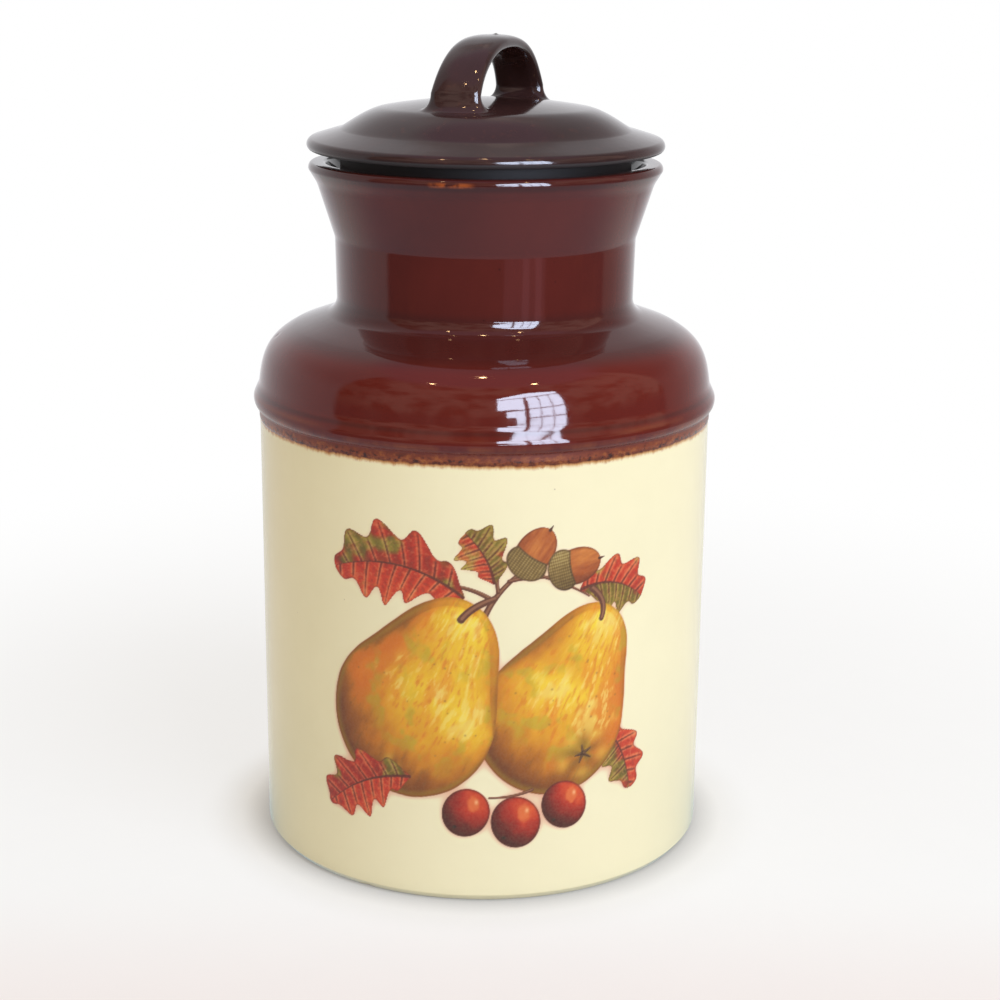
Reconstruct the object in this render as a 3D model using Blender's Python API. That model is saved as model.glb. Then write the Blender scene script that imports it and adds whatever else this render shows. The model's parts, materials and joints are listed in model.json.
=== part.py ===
"""Ceramic canister: a glazed stoneware jar and its loose lid with a strap handle.

Units are metres and +Z is up. The origin is the centre of the base, and the jar's front faces -Y.
"""

import math

import bmesh
import bpy
from mathutils import Matrix, Vector

# Jar, outside
BODY_RADIUS = 0.0660
BODY_HEIGHT = 0.1361
BEVEL_WIDTH = 0.0015
BEVEL_RISE = 0.0019
GLAZE_DROP = 0.0091
GLAZE_COAT = 0.0002
BEAD_ROUND = 0.0034
BEAD_PROUD = 0.0019
SHOULDER_RISE = 0.0217
SHOULDER_LEAN = math.radians(7)
SHOULDER_SLOPE = math.radians(17.8)
SHOULDER_LOWER = 0.0103
SHOULDER_UPPER = 0.0165
NECK_RADIUS = 0.0430
NECK_FILLET = 0.0050
NECK_LENGTH = 0.0209
NECK_TAPER = math.radians(1.2)
WAIST_ROUND = 0.0060
FLARE_LENGTH = 0.0172
FLARE_ANGLE = math.radians(17.6)
LIP_ROUND = 0.0012
LIP_ROLL = 0.00185
LIP_ANGLE = math.radians(35)

# Jar, inside and underneath
BODY_WALL = 0.0050
NECK_WALL = 0.0044
FLOOR = 0.0065
FLOOR_FILLET = 0.0080
FOOT_WIDTH = 0.0060
RECESS_DEPTH = 0.0015

# Lid
SEAT_STEP = 0.0026
SEAT_GAP = 0.0003
PLUG_WALL = 0.0042
PLUG_EDGE = 0.0015
RIM_LIFT = 0.00285
RIM_OVERHANG = 0.0004
RIM_ROUND = 0.0018
RIM_CROWN = 0.0030
FLANGE_WIDTH = 0.0091
FLANGE_SLOPE = math.radians(17)
STEP_WIDTH = 0.0125
DOME_RISE = 0.0150
DOME_SAG = 0.0025
DOME_WALL = 0.0050

# Strap handle on the lid
HANDLE_TURN = math.radians(20.5)
HANDLE_OFFSET = 0.0006
STRAP_INSET = 0.0034
STRAP_RISE = 0.0152
STRAP_WIDTH = 0.0136
STRAP_THICKNESS = 0.0046
STRAP_SKEW = 0.0020
LEG_SPREAD = 0.0011
LEG_SWING = 0.0009
FOOT_FLARE = 0.0020
FOOT_FLARE_HEIGHT = 0.0042
FOOT_SINK = 0.0024

# How square the strap's arch and its section are (2 is an ellipse), and the share by which its legs lean in
ARCH_SQUARENESS = 2.4
SECTION_SQUARENESS = 2.5
LEG_LEAN = 0.06

# Shares of the step's width over which the dome and the flange keep their own slopes
DOME_PULL = 0.42
FLANGE_PULL = 0.12

# Smoothness
SEGMENTS = 60
STRAP_STEPS = 26
STRAP_SIDES = 16
TANGENT_STEP = 0.002
ROUNDING_SHARE = 0.49
MERGE_DISTANCE = 1e-6
SHARP_ANGLE = math.radians(40)

# Colours as they look on screen, and how rough each surface is
BROWN = (0.29, 0.098, 0.082)
CREAM = (0.965, 0.937, 0.827)
CLAY = (0.80, 0.76, 0.68)
LID_BROWN = (0.23, 0.125, 0.118)
BROWN_ROUGHNESS = 0.10
CREAM_ROUGHNESS = 0.16
CLAY_ROUGHNESS = 0.80

# Heights and radii on the jar that follow from the driving sizes
UPPER_RADIUS = BODY_RADIUS + GLAZE_COAT
GLAZE_LINE = BODY_HEIGHT - GLAZE_DROP
BEAD_SWING = math.acos(1 - BEAD_PROUD / BEAD_ROUND)
BEAD_HEIGHT = BODY_HEIGHT - BEAD_ROUND * math.sin(BEAD_SWING)
SHOULDER_TOP = BODY_HEIGHT + SHOULDER_RISE
WAIST_HEIGHT = SHOULDER_TOP + NECK_LENGTH
WAIST_RADIUS = NECK_RADIUS + NECK_LENGTH * math.tan(NECK_TAPER)
MOUTH_HEIGHT = WAIST_HEIGHT + FLARE_LENGTH
MOUTH_RADIUS = WAIST_RADIUS + FLARE_LENGTH * math.tan(FLARE_ANGLE)
LIP_RADIUS = MOUTH_RADIUS + LIP_ROLL
LIP_RUN = LIP_ROLL - LIP_ROUND * (1 - math.cos(LIP_ANGLE))
LIP_CENTRE = MOUTH_HEIGHT + LIP_RUN / math.tan(LIP_ANGLE) + LIP_ROUND * math.sin(LIP_ANGLE)
LIP_TOP = LIP_CENTRE + LIP_ROUND
BORE_RADIUS = WAIST_RADIUS - NECK_WALL

# The lid's own frame stands on the underside of its rim, which hangs over the jar's lip
RIM_HEIGHT = LIP_TOP + RIM_LIFT
RIM_RADIUS = LIP_RADIUS + RIM_OVERHANG
PLUG_RADIUS = BORE_RADIUS + SEAT_STEP
HOLLOW_RADIUS = PLUG_RADIUS - PLUG_WALL
FLANGE_RADIUS = RIM_RADIUS - FLANGE_WIDTH
DOME_RADIUS = FLANGE_RADIUS - STEP_WIDTH
STRAP_SPAN = DOME_RADIUS - STRAP_INSET


def arc(centre_r, centre_z, radius, start, end, steps):
    """Points (r, z) on an arc, from one angle to the other, where 0 points outwards."""
    points = []
    for i in range(steps + 1):
        angle = start + (end - start) * i / steps
        points.append((centre_r + radius * math.cos(angle), centre_z + radius * math.sin(angle)))
    return points


def bezier(p0, p1, p2, p3, steps):
    """Points (r, z) on a cubic curve, both ends included."""
    points = []
    for i in range(steps + 1):
        t = i / steps
        weights = ((1 - t) ** 3, 3 * (1 - t) ** 2 * t, 3 * (1 - t) * t**2, t**3)
        corners = (p0, p1, p2, p3)
        points.append(tuple(sum(w * p[k] for w, p in zip(weights, corners)) for k in (0, 1)))
    return points


def rounded(before, corner, after, radius, steps):
    """Points of the arc that rounds the corner between two straight stretches of a profile."""
    at = Vector(corner)
    back = Vector(before) - at
    on = Vector(after) - at
    half = back.angle(on) / 2
    reach = min(radius / math.tan(half), ROUNDING_SHARE * min(back.length, on.length))
    radius = reach * math.tan(half)
    back.normalize()
    on.normalize()
    centre = at + (back + on).normalized() * (radius / math.sin(half))
    first = at + back * reach - centre
    sweep = first.angle_signed(at + on * reach - centre)
    return [tuple(centre + Matrix.Rotation(-sweep * i / steps, 2) @ first) for i in range(steps + 1)]


def inset(points, distance):
    """The profile moved to its left by a distance, measured square to it."""
    moved = []
    for i, point in enumerate(points):
        before = Vector(points[max(i - 1, 0)])
        after = Vector(points[min(i + 1, len(points) - 1)])
        along = (after - before).normalized()
        moved.append((point[0] - along.y * distance, point[1] + along.x * distance))
    return moved


def turned(name, profile):
    """A mesh made by turning a profile, which begins and ends on the axis, through a full circle."""
    mesh = bpy.data.meshes.new(name)
    shape = bmesh.new()
    points = [shape.verts.new((r, 0, z)) for r, z in profile]
    edges = [shape.edges.new(pair) for pair in zip(points, points[1:])]
    bmesh.ops.spin(
        shape, geom=points + edges, cent=(0, 0, 0), axis=(0, 0, 1), angle=2 * math.pi, steps=SEGMENTS
    )
    bmesh.ops.remove_doubles(shape, verts=shape.verts, dist=MERGE_DISTANCE)
    bmesh.ops.recalc_face_normals(shape, faces=shape.faces)
    shape.to_mesh(mesh)
    shape.free()
    mesh.shade_smooth()
    mesh.set_sharp_from_angle(angle=SHARP_ANGLE)
    return mesh


def surface(name, colour, roughness):
    """A Principled material for one glaze or for bare clay."""
    material = bpy.data.materials.new(name)
    material.use_nodes = True
    linear = [c / 12.92 if c <= 0.04045 else ((c + 0.055) / 1.055) ** 2.4 for c in colour]
    shader = material.node_tree.nodes["Principled BSDF"]
    shader.inputs["Base Color"].default_value = (*linear, 1)
    shader.inputs["Roughness"].default_value = roughness
    shader.inputs["Metallic"].default_value = 0
    return material


def shoulder_curve(steps):
    """The outside of the shoulder, from the top of the bead up to the fillet at the neck."""
    start = Vector((UPPER_RADIUS, BODY_HEIGHT))
    end = Vector((NECK_RADIUS + NECK_FILLET, SHOULDER_TOP - NECK_FILLET * math.tan(SHOULDER_SLOPE)))
    lower = start + SHOULDER_LOWER * Vector((-math.sin(SHOULDER_LEAN), math.cos(SHOULDER_LEAN)))
    upper = end + SHOULDER_UPPER * Vector((math.cos(SHOULDER_SLOPE), -math.sin(SHOULDER_SLOPE)))
    return bezier(start, lower, upper, end, steps)


def jar_underside():
    """The profile under the jar, from the centre of the recess out to the foot ring."""
    foot_inner = BODY_RADIUS - BEVEL_WIDTH - FOOT_WIDTH
    return [(0, RECESS_DEPTH), (foot_inner - RECESS_DEPTH, RECESS_DEPTH), (foot_inner, 0)]


def jar_outside():
    """The jar's profile from its foot up over the bead, shoulder and neck to the top of the lip."""
    wall = [
        (BODY_RADIUS - BEVEL_WIDTH, 0),
        (BODY_RADIUS, BEVEL_RISE),
        (BODY_RADIUS, GLAZE_LINE - GLAZE_COAT),
        (UPPER_RADIUS, GLAZE_LINE),
    ]
    bead_centre = UPPER_RADIUS + BEAD_PROUD - BEAD_ROUND
    shoulder = shoulder_curve(11)
    neck_foot = (NECK_RADIUS, SHOULDER_TOP)
    waist = (WAIST_RADIUS, WAIST_HEIGHT)
    mouth = (MOUTH_RADIUS, MOUTH_HEIGHT)
    return (
        wall
        + arc(bead_centre, BEAD_HEIGHT, BEAD_ROUND, -BEAD_SWING, BEAD_SWING, 8)
        + shoulder[1:-1]
        + rounded(shoulder[-2], neck_foot, waist, NECK_FILLET, 4)
        + rounded(neck_foot, waist, mouth, WAIST_ROUND, 2)
        + [mouth]
        + arc(LIP_RADIUS - LIP_ROUND, LIP_CENTRE, LIP_ROUND, -LIP_ANGLE, math.pi / 2, 6)
    )


def jar_inside():
    """The jar's profile from the inner edge of the lip down to the centre of the floor."""
    mouth = (MOUTH_RADIUS - NECK_WALL, MOUTH_HEIGHT)
    brim = (mouth[0] + (LIP_TOP - MOUTH_HEIGHT) * math.tan(FLARE_ANGLE), LIP_TOP)
    bore = (BORE_RADIUS, WAIST_HEIGHT)
    neck = (NECK_RADIUS - NECK_WALL, SHOULDER_TOP)
    shoulder = inset(shoulder_curve(8), BODY_WALL)[::-1]
    floor_corner = (UPPER_RADIUS - BODY_WALL, FLOOR)
    return (
        rounded((LIP_RADIUS - LIP_ROUND, LIP_TOP), brim, mouth, LIP_ROUND, 3)
        + rounded(mouth, bore, neck, WAIST_ROUND, 2)
        + [neck]
        + shoulder
        + rounded(shoulder[-1], floor_corner, (0, FLOOR), FLOOR_FILLET, 5)
        + [(0, FLOOR)]
    )


def make_jar():
    """One slip-cast shell: foot ring, cylinder, bead, shoulder, neck and flared lip."""
    mesh = turned("jar", jar_underside() + jar_outside() + jar_inside())
    mesh.materials.append(surface("cream_glaze", CREAM, CREAM_ROUGHNESS))
    mesh.materials.append(surface("brown_glaze", BROWN, BROWN_ROUGHNESS))
    mesh.materials.append(surface("bare_clay", CLAY, CLAY_ROUGHNESS))
    for face in mesh.polygons:
        height = face.center.z
        in_belly = face.center.xy.length < BODY_RADIUS - BODY_WALL / 2 and height < BODY_HEIGHT
        if height < BEVEL_RISE:
            face.material_index = 2
        elif height > GLAZE_LINE - GLAZE_COAT and not in_belly:
            face.material_index = 1
    jar = bpy.data.objects.new("jar", mesh)
    bpy.context.collection.objects.link(jar)


def plug_bottom():
    """Height of the plug's lower end, whose rounded edge seats on the flare of the bore."""
    across = (PLUG_RADIUS - PLUG_EDGE - BORE_RADIUS) * math.cos(FLARE_ANGLE)
    centre = WAIST_HEIGHT + (PLUG_EDGE + SEAT_GAP + across) / math.sin(FLARE_ANGLE)
    return centre - PLUG_EDGE - RIM_HEIGHT


def dome_height(radius):
    """Height of the lid's dome over the rim's underside, at a distance from the axis."""
    return DOME_RISE - DOME_SAG * (radius / DOME_RADIUS) ** 2


def lid_outside():
    """The lid's profile from the top of the dome, down the hollow step and the flange, to the rim."""
    dome_steps = 4
    dome = []
    for i in range(dome_steps + 1):
        radius = DOME_RADIUS * i / dome_steps
        dome.append((radius, dome_height(radius)))
    rim = arc(RIM_RADIUS - RIM_CROWN, RIM_ROUND, RIM_CROWN, math.pi / 2 - FLANGE_SLOPE, 0, 5)
    rim += arc(RIM_RADIUS - RIM_ROUND, RIM_ROUND, RIM_ROUND, 0, -math.pi / 2, 4)[1:]
    flange = (FLANGE_RADIUS, rim[0][1] + (rim[0][0] - FLANGE_RADIUS) * math.tan(FLANGE_SLOPE))
    dome_slope = 2 * DOME_SAG / DOME_RADIUS
    high = (DOME_RADIUS + DOME_PULL * STEP_WIDTH, dome[-1][1] - DOME_PULL * STEP_WIDTH * dome_slope)
    low = (
        FLANGE_RADIUS - FLANGE_PULL * STEP_WIDTH,
        flange[1] + FLANGE_PULL * STEP_WIDTH * math.tan(FLANGE_SLOPE),
    )
    return dome + bezier(dome[-1], high, low, flange, 7)[1:] + rim


def lid_underside():
    """The lid's profile from its rim down round the plug and up to the centre of the hollow."""
    bottom = plug_bottom()
    roof_steps = 3
    roof = []
    for i in range(roof_steps, -1, -1):
        radius = HOLLOW_RADIUS * i / roof_steps
        roof.append((radius, dome_height(radius) - DOME_WALL))
    return (
        rounded((RIM_RADIUS, 0), (PLUG_RADIUS, 0), (PLUG_RADIUS, bottom), PLUG_EDGE, 2)
        + rounded((PLUG_RADIUS, 0), (PLUG_RADIUS, bottom), (HOLLOW_RADIUS, bottom), PLUG_EDGE, 4)
        + rounded((PLUG_RADIUS, bottom), (HOLLOW_RADIUS, bottom), (HOLLOW_RADIUS, 0), PLUG_EDGE, 2)
        + rounded((HOLLOW_RADIUS, 0), roof[0], roof[1], DOME_WALL, 3)
        + roof[1:]
    )


def strap_section(centre, tangent, half_width, half_thickness):
    """A ring of points round the strap: a flattened oval, square to the strap's path."""
    across = Vector((0, 1, 0))
    out = tangent.cross(across).normalized()
    power = 2 / SECTION_SQUARENESS
    ring = []
    for i in range(STRAP_SIDES):
        angle = 2 * math.pi * i / STRAP_SIDES
        side = math.copysign(abs(math.cos(angle)) ** power, math.cos(angle))
        face = math.copysign(abs(math.sin(angle)) ** power, math.sin(angle))
        ring.append(centre + across * half_width * side + out * half_thickness * face)
    return ring


def arch_share(share):
    """How far up the arch a point of the strap is, from 0 at either foot to 1 at the crown."""
    return abs(math.sin(math.pi * share)) ** (2 / ARCH_SQUARENESS)


def strap_path(share):
    """A point on the strap's centre line, from its front foot at share 0 to its back foot at share 1."""
    angle = math.pi * share
    power = 2 / ARCH_SQUARENESS
    up = arch_share(share)
    reach = STRAP_SPAN * (1 - LEG_LEAN * up)
    along = -math.copysign(abs(math.cos(angle)) ** power * reach, math.cos(angle))
    foot = dome_height(STRAP_SPAN) - FOOT_SINK
    crown = DOME_RISE + STRAP_RISE - foot
    aside = math.copysign(LEG_SWING * (1 - up) ** 2, math.cos(angle))
    return Vector((along + STRAP_SKEW * up**2, aside, foot + crown * up))


def make_strap():
    """The strap before it is luted on: an arch of flattened oval section whose feet flare out."""
    mesh = bpy.data.meshes.new("strap")
    shape = bmesh.new()
    rings = []
    for i in range(STRAP_STEPS + 1):
        share = i / STRAP_STEPS
        here = strap_path(share)
        along = strap_path(min(share + TANGENT_STEP, 1)) - strap_path(max(share - TANGENT_STEP, 0))
        over_dome = here.z - dome_height(STRAP_SPAN)
        flare = max(0, 1 - over_dome / FOOT_FLARE_HEIGHT) ** 2 * FOOT_FLARE
        half_width = STRAP_WIDTH / 2 + LEG_SPREAD * (1 - arch_share(share)) ** 2 + flare
        half_thickness = STRAP_THICKNESS / 2 + flare
        ring = strap_section(here, along.normalized(), half_width, half_thickness)
        rings.append([shape.verts.new(point) for point in ring])
    for ring, following in zip(rings, rings[1:]):
        for j in range(STRAP_SIDES):
            k = (j + 1) % STRAP_SIDES
            shape.faces.new((ring[j], ring[k], following[k], following[j]))
    shape.faces.new(rings[0])
    shape.faces.new(rings[-1])
    bmesh.ops.recalc_face_normals(shape, faces=shape.faces)
    shape.to_mesh(mesh)
    shape.free()
    mesh.shade_smooth()
    strap = bpy.data.objects.new("strap", mesh)
    strap.hide_render = True
    strap.display_type = "WIRE"
    bpy.context.collection.objects.link(strap)
    return strap


def make_lid():
    """One fired piece: domed cover, bullnose rim and locating plug, with the strap handle luted on."""
    mesh = turned("lid", lid_outside() + lid_underside())
    mesh.materials.append(surface("lid_glaze", LID_BROWN, BROWN_ROUGHNESS))
    lid = bpy.data.objects.new("lid", mesh)
    lid.location.z = RIM_HEIGHT
    bpy.context.collection.objects.link(lid)
    strap = make_strap()
    strap.parent = lid
    strap.rotation_euler.z = math.pi / 2 - HANDLE_TURN
    strap.location.x = HANDLE_OFFSET
    luting = lid.modifiers.new("luting", "BOOLEAN")
    luting.operation = "UNION"
    luting.solver = "EXACT"
    luting.object = strap


def main():
    for old in list(bpy.data.objects):
        bpy.data.objects.remove(old)
    make_jar()
    make_lid()


main()
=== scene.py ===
"""Ceramic canister, dressed: a glazed jar, its strap-handled lid and a fruit print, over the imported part.

Units are metres and +Z is up. The front faces -Y, and angles round the jar start there.
"""

import json
import math

import bmesh
import bpy
import numpy as np
from mathutils import Matrix, Vector
from mathutils.geometry import delaunay_2d_cdt

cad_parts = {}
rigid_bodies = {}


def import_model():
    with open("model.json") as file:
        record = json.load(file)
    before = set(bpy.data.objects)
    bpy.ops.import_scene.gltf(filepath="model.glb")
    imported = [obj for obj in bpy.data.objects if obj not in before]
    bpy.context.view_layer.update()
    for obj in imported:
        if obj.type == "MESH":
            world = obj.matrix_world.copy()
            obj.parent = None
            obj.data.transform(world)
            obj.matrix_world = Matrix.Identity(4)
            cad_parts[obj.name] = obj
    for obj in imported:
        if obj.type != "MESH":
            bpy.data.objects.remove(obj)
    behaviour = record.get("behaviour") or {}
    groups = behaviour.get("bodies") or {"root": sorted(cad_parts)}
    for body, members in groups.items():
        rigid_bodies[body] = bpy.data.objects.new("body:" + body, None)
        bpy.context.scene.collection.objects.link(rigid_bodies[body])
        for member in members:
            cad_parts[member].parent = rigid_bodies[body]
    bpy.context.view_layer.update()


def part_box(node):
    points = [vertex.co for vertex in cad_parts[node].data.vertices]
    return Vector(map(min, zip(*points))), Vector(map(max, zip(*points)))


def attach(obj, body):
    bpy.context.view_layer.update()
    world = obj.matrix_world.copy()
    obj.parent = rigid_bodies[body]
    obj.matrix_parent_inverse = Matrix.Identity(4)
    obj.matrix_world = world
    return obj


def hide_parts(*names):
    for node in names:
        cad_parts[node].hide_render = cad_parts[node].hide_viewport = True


bl_info = {
    "name": "Ceramic canister",
    "version": (1, 0, 0),
    "blender": (4, 5, 0),
    "location": "View3D > Sidebar > Canister",
    "description": "Builds a glazed stoneware canister with a strap-handled lid and a fruit print",
    "category": "Object",
}

for startup_object in list(bpy.data.objects):
    bpy.data.objects.remove(startup_object)
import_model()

# Jar, outside
BODY_RADIUS = 0.0660
BODY_HEIGHT = 0.1361
BEVEL_WIDTH = 0.0015
BEVEL_RISE = 0.0019
GLAZE_DROP = 0.0091
GLAZE_COAT = 0.0002
BEAD_ROUND = 0.0034
BEAD_PROUD = 0.00155
SHOULDER_RISE = 0.0217
SHOULDER_LEAN = math.radians(7)
SHOULDER_SLOPE = math.radians(17.8)
SHOULDER_LOWER = 0.0103
SHOULDER_UPPER = 0.0165
NECK_RADIUS = 0.0430
NECK_FILLET = 0.0050
NECK_LENGTH = 0.0209
NECK_TAPER = math.radians(1.2)
WAIST_ROUND = 0.0060
FLARE_LENGTH = 0.0172
FLARE_ANGLE = math.radians(17.6)
LIP_ROUND = 0.0012
LIP_ROLL = 0.00185
LIP_ANGLE = math.radians(35)
BEAD_FALL = 0.0008
GROOVE_RISE = 0.0006
GROOVE_ROUND = 0.0064
GROOVE_TILT = math.radians(25)
LIP_FALL = 0.0004
LIP_START = math.radians(31)
MOUTH_DROP = 0.0015
MOUTH_BLEND = 0.0090

# Jar, inside and underneath
BODY_WALL = 0.0050
NECK_WALL = 0.0044
FLOOR = 0.0065
FLOOR_FILLET = 0.0080
FOOT_WIDTH = 0.0060
FOOT_ROUNDS = (0.0006, 0.0005, 0.0004, 0.0007)
RECESS_DEPTH = 0.0015

# Lid
SEAT_STEP = 0.0026
SEAT_GAP = 0.0003
PLUG_WALL = 0.0042
PLUG_EDGE = 0.0015
RIM_LIFT = 0.00285
RIM_OVERHANG = 0.0004
RIM_BASE = 0.0007
RIM_ROUND = 0.0014
RIM_CROWN = 0.0020
RIM_WARP = 0.0008
WARP_START = 0.030
FLANGE_WIDTH = 0.0091
FLANGE_SLOPE = math.radians(17)
STEP_WIDTH = 0.0125
DOME_RISE = 0.0150
DOME_SAG = 0.0025
DOME_WALL = 0.0050
DOME_PULL = 0.42
FLANGE_PULL = 0.12

# Strap handle on the lid
HANDLE_TURN = math.radians(20.5)
HANDLE_OFFSET = 0.0006
STRAP_INSET = 0.0034
STRAP_RISE = 0.0152
STRAP_WIDTH = 0.0136
STRAP_THICKNESS = 0.0046
STRAP_SKEW = 0.0020
LEG_SPREAD = 0.0011
LEG_SWING = 0.0009
FOOT_SINK = 0.0024
ARCH_SQUARENESS = 2.4
SECTION_SQUARENESS = 2.5
LEG_LEAN = 0.06
FOOT_SPREAD = 0.0033
FOOT_RISE = 0.0042

# Heights and radii that follow from the sizes above
UPPER_RADIUS = BODY_RADIUS + GLAZE_COAT
GLAZE_LINE = BODY_HEIGHT - GLAZE_DROP
BEAD_SWING = math.acos(1 - BEAD_PROUD / BEAD_ROUND)
BEAD_HEIGHT = BODY_HEIGHT - BEAD_ROUND * math.sin(BEAD_SWING)
SHOULDER_TOP = BODY_HEIGHT + SHOULDER_RISE
WAIST_HEIGHT = SHOULDER_TOP + NECK_LENGTH
WAIST_RADIUS = NECK_RADIUS + NECK_LENGTH * math.tan(NECK_TAPER)
MOUTH_HEIGHT = WAIST_HEIGHT + FLARE_LENGTH
MOUTH_RADIUS = WAIST_RADIUS + FLARE_LENGTH * math.tan(FLARE_ANGLE)
LIP_RADIUS = MOUTH_RADIUS + LIP_ROLL
LIP_RUN = LIP_ROLL - LIP_ROUND * (1 - math.cos(LIP_ANGLE))
LIP_CENTRE = MOUTH_HEIGHT + LIP_RUN / math.tan(LIP_ANGLE) + LIP_ROUND * math.sin(LIP_ANGLE)
LIP_TOP = LIP_CENTRE + LIP_ROUND
BORE_RADIUS = WAIST_RADIUS - NECK_WALL
RIM_HEIGHT = LIP_TOP + RIM_LIFT
RIM_RADIUS = LIP_RADIUS + RIM_OVERHANG
PLUG_RADIUS = BORE_RADIUS + SEAT_STEP
HOLLOW_RADIUS = PLUG_RADIUS - PLUG_WALL
FLANGE_RADIUS = RIM_RADIUS - FLANGE_WIDTH
DOME_RADIUS = FLANGE_RADIUS - STEP_WIDTH
STRAP_SPAN = DOME_RADIUS - STRAP_INSET

# How finely the pieces are meshed
LONGEST_STEP = 0.0032
STRAP_STEPS = 150
STRAP_SIDES = 72
FOOT_STEPS = 12
CROWN_RADIUS = 0.0345
CROWN_SPACING = 0.0009
TANGENT_STEP = 0.002
ROUNDING_SHARE = 0.49
MERGE_DISTANCE = 2e-6
BOX_TOLERANCE = 0.0007

# The print's height over the wall, and the least cover that gets a face
PRINT_LIFT = 0.00005
PRINT_LEAST = 0.02

# The stretch of the lip, from x to x, where the glaze has run to rust
LIP_STREAK = (-0.0145, -0.0040)

# Stains and specks in the glazes and the clay, and the brown glaze's painted light and shade, as they look on
# screen
CREAM_MOTTLE = (0.90, 0.86, 0.70)
CREAM_DOTS = (0.52, 0.40, 0.26)
CREAM_PALE = (1.0, 0.985, 0.90)
BROWN_RUNS = (0.42, 0.17, 0.11)
# Painted light on the lower shoulder
LIT_SHOULDER_RED = (0.425, 0.118, 0.078)
NECK_FOOT_BROWN = (0.24, 0.115, 0.105)
DARK_SPECKS = (0.14, 0.055, 0.05)
# Painted shade, laid in the bead's groove and on the lip under the lid's rim
SHADE_BROWN = (0.20, 0.09, 0.085)
STREAK_RUST = (0.70, 0.35, 0.15)
EDGE_BRIGHT = (0.70, 0.41, 0.19)
EDGE_DARK = (0.27, 0.10, 0.045)
CLAY_IRON = (0.45, 0.32, 0.22)
LID_GRAIN = (0.36, 0.19, 0.15)
LID_PITS = (0.09, 0.05, 0.05)
LID_UNDERSIDE = (0.185, 0.14, 0.135)
INK_GRAIN = (0.93, 0.84, 0.66)

# The edge of the brown glaze, from the cream under it up to the full brown
EDGE_TONES = (
    (0.00, (0.96, 0.91, 0.77)),
    (0.12, (0.90, 0.78, 0.58)),
    (0.20, (0.76, 0.53, 0.31)),
    (0.26, (0.42, 0.19, 0.10)),
    (0.38, (0.52, 0.24, 0.12)),
    (0.55, (0.49, 0.21, 0.12)),
    (0.78, (0.43, 0.16, 0.12)),
)

# Heights from where to where the brown glaze changes: lighter and redder with painted light on the lower
# shoulder, darker round the foot of the neck, rubbed, darker with painted shade in the groove over the bead
# and on the lip under the lid's rim, and broken to rust
LOWER_SHOULDER = (SHOULDER_TOP - 0.0050, SHOULDER_TOP - 0.0085)
NECK_FOOT_BAND = (SHOULDER_TOP - 0.0060, SHOULDER_TOP + 0.0040)
BEAD_CREST = (BODY_HEIGHT - 0.0028, BODY_HEIGHT - 0.0018)
BEAD_GROOVE = (BODY_HEIGHT - 0.0012, BODY_HEIGHT - 0.0001)
LIP_SHADE_SPAN = (MOUTH_HEIGHT + 0.0002, MOUTH_HEIGHT + 0.0016)
THIN_SETS_IN = (GLAZE_LINE, GLAZE_LINE + 0.0010)
THIN_FADES = (GLAZE_LINE + 0.0034, GLAZE_LINE + 0.0060)

# Depth of the relief in each finish
CREAM_RELIEF = 0.000012
BROWN_RELIEF = 0.000014
LID_RELIEF = 0.000016
CLAY_RELIEF = 0.00006

# How far the lid wanders from true, as a share of what the jar does
LID_EVENNESS = 0.7

# The node tree's labels for the finishes that a stretch of a profile can have, and their numbers
FINISH_LABELS = ("Wall finish", "Line finish", "Upper finish", "Foot finish")
WALL, LINE, UPPER, CLAY = range(4)


class CanisterSizes(bpy.types.PropertyGroup):
    """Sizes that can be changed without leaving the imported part."""

    segments: bpy.props.IntProperty(
        name="Segments", description="Steps round the turned pieces", default=300, min=96, max=400
    )
    unevenness: bpy.props.FloatProperty(
        name="Unevenness",
        description="How far the fired walls wander from true",
        default=0.00012,
        min=0,
        max=0.0004,
        precision=5,
        unit="LENGTH",
    )
    print_cell: bpy.props.FloatProperty(
        name="Print cell",
        description="Spacing of the points that carry the print's colours",
        default=0.00027,
        min=0.0002,
        max=0.002,
        precision=5,
        unit="LENGTH",
    )
    print_height: bpy.props.FloatProperty(
        name="Print height",
        description="Height of the middle of the print over the base",
        default=0.0636,
        unit="LENGTH",
    )
    floor_radius: bpy.props.FloatProperty(
        name="Floor radius", description="Size of the round floor", default=0.55, unit="LENGTH"
    )


def colour_property(name, description, value):
    """A colour as it looks on screen, which a user can change."""
    return bpy.props.FloatVectorProperty(
        name=name, description=description, default=value, size=3, min=0, max=1, subtype="COLOR_GAMMA"
    )


class CanisterColours(bpy.types.PropertyGroup):
    """Colours of the glazes, the clay and the floor, as they look on screen."""

    cream: colour_property("Cream glaze", "Clear yellowish glaze over the white wall", (0.985, 0.950, 0.800))
    brown: colour_property("Brown glaze", "Red-brown glaze on the shoulder and neck", (0.356, 0.126, 0.102))
    rust: colour_property("Rust", "Where the brown glaze runs thin", (0.62, 0.33, 0.18))
    lid_brown: colour_property("Lid glaze", "Darker brown glaze on the lid", (0.215, 0.135, 0.130))
    clay: colour_property("Bare clay", "Unglazed clay under the jar", (0.80, 0.76, 0.68))
    floor: colour_property("Floor", "Pale floor", (0.90, 0.885, 0.86))


def linear(colour):
    """Colours given as they look on screen, in the renderer's own scale."""
    colour = np.asarray(colour, float)
    return np.where(colour <= 0.04045, colour / 12.92, ((colour + 0.055) / 1.055) ** 2.4)


def shade(colour, factor=1.0):
    """A node socket's value for a colour, made darker or lighter."""
    return (*np.minimum(linear(colour) * factor, 1.0), 1.0)


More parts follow.
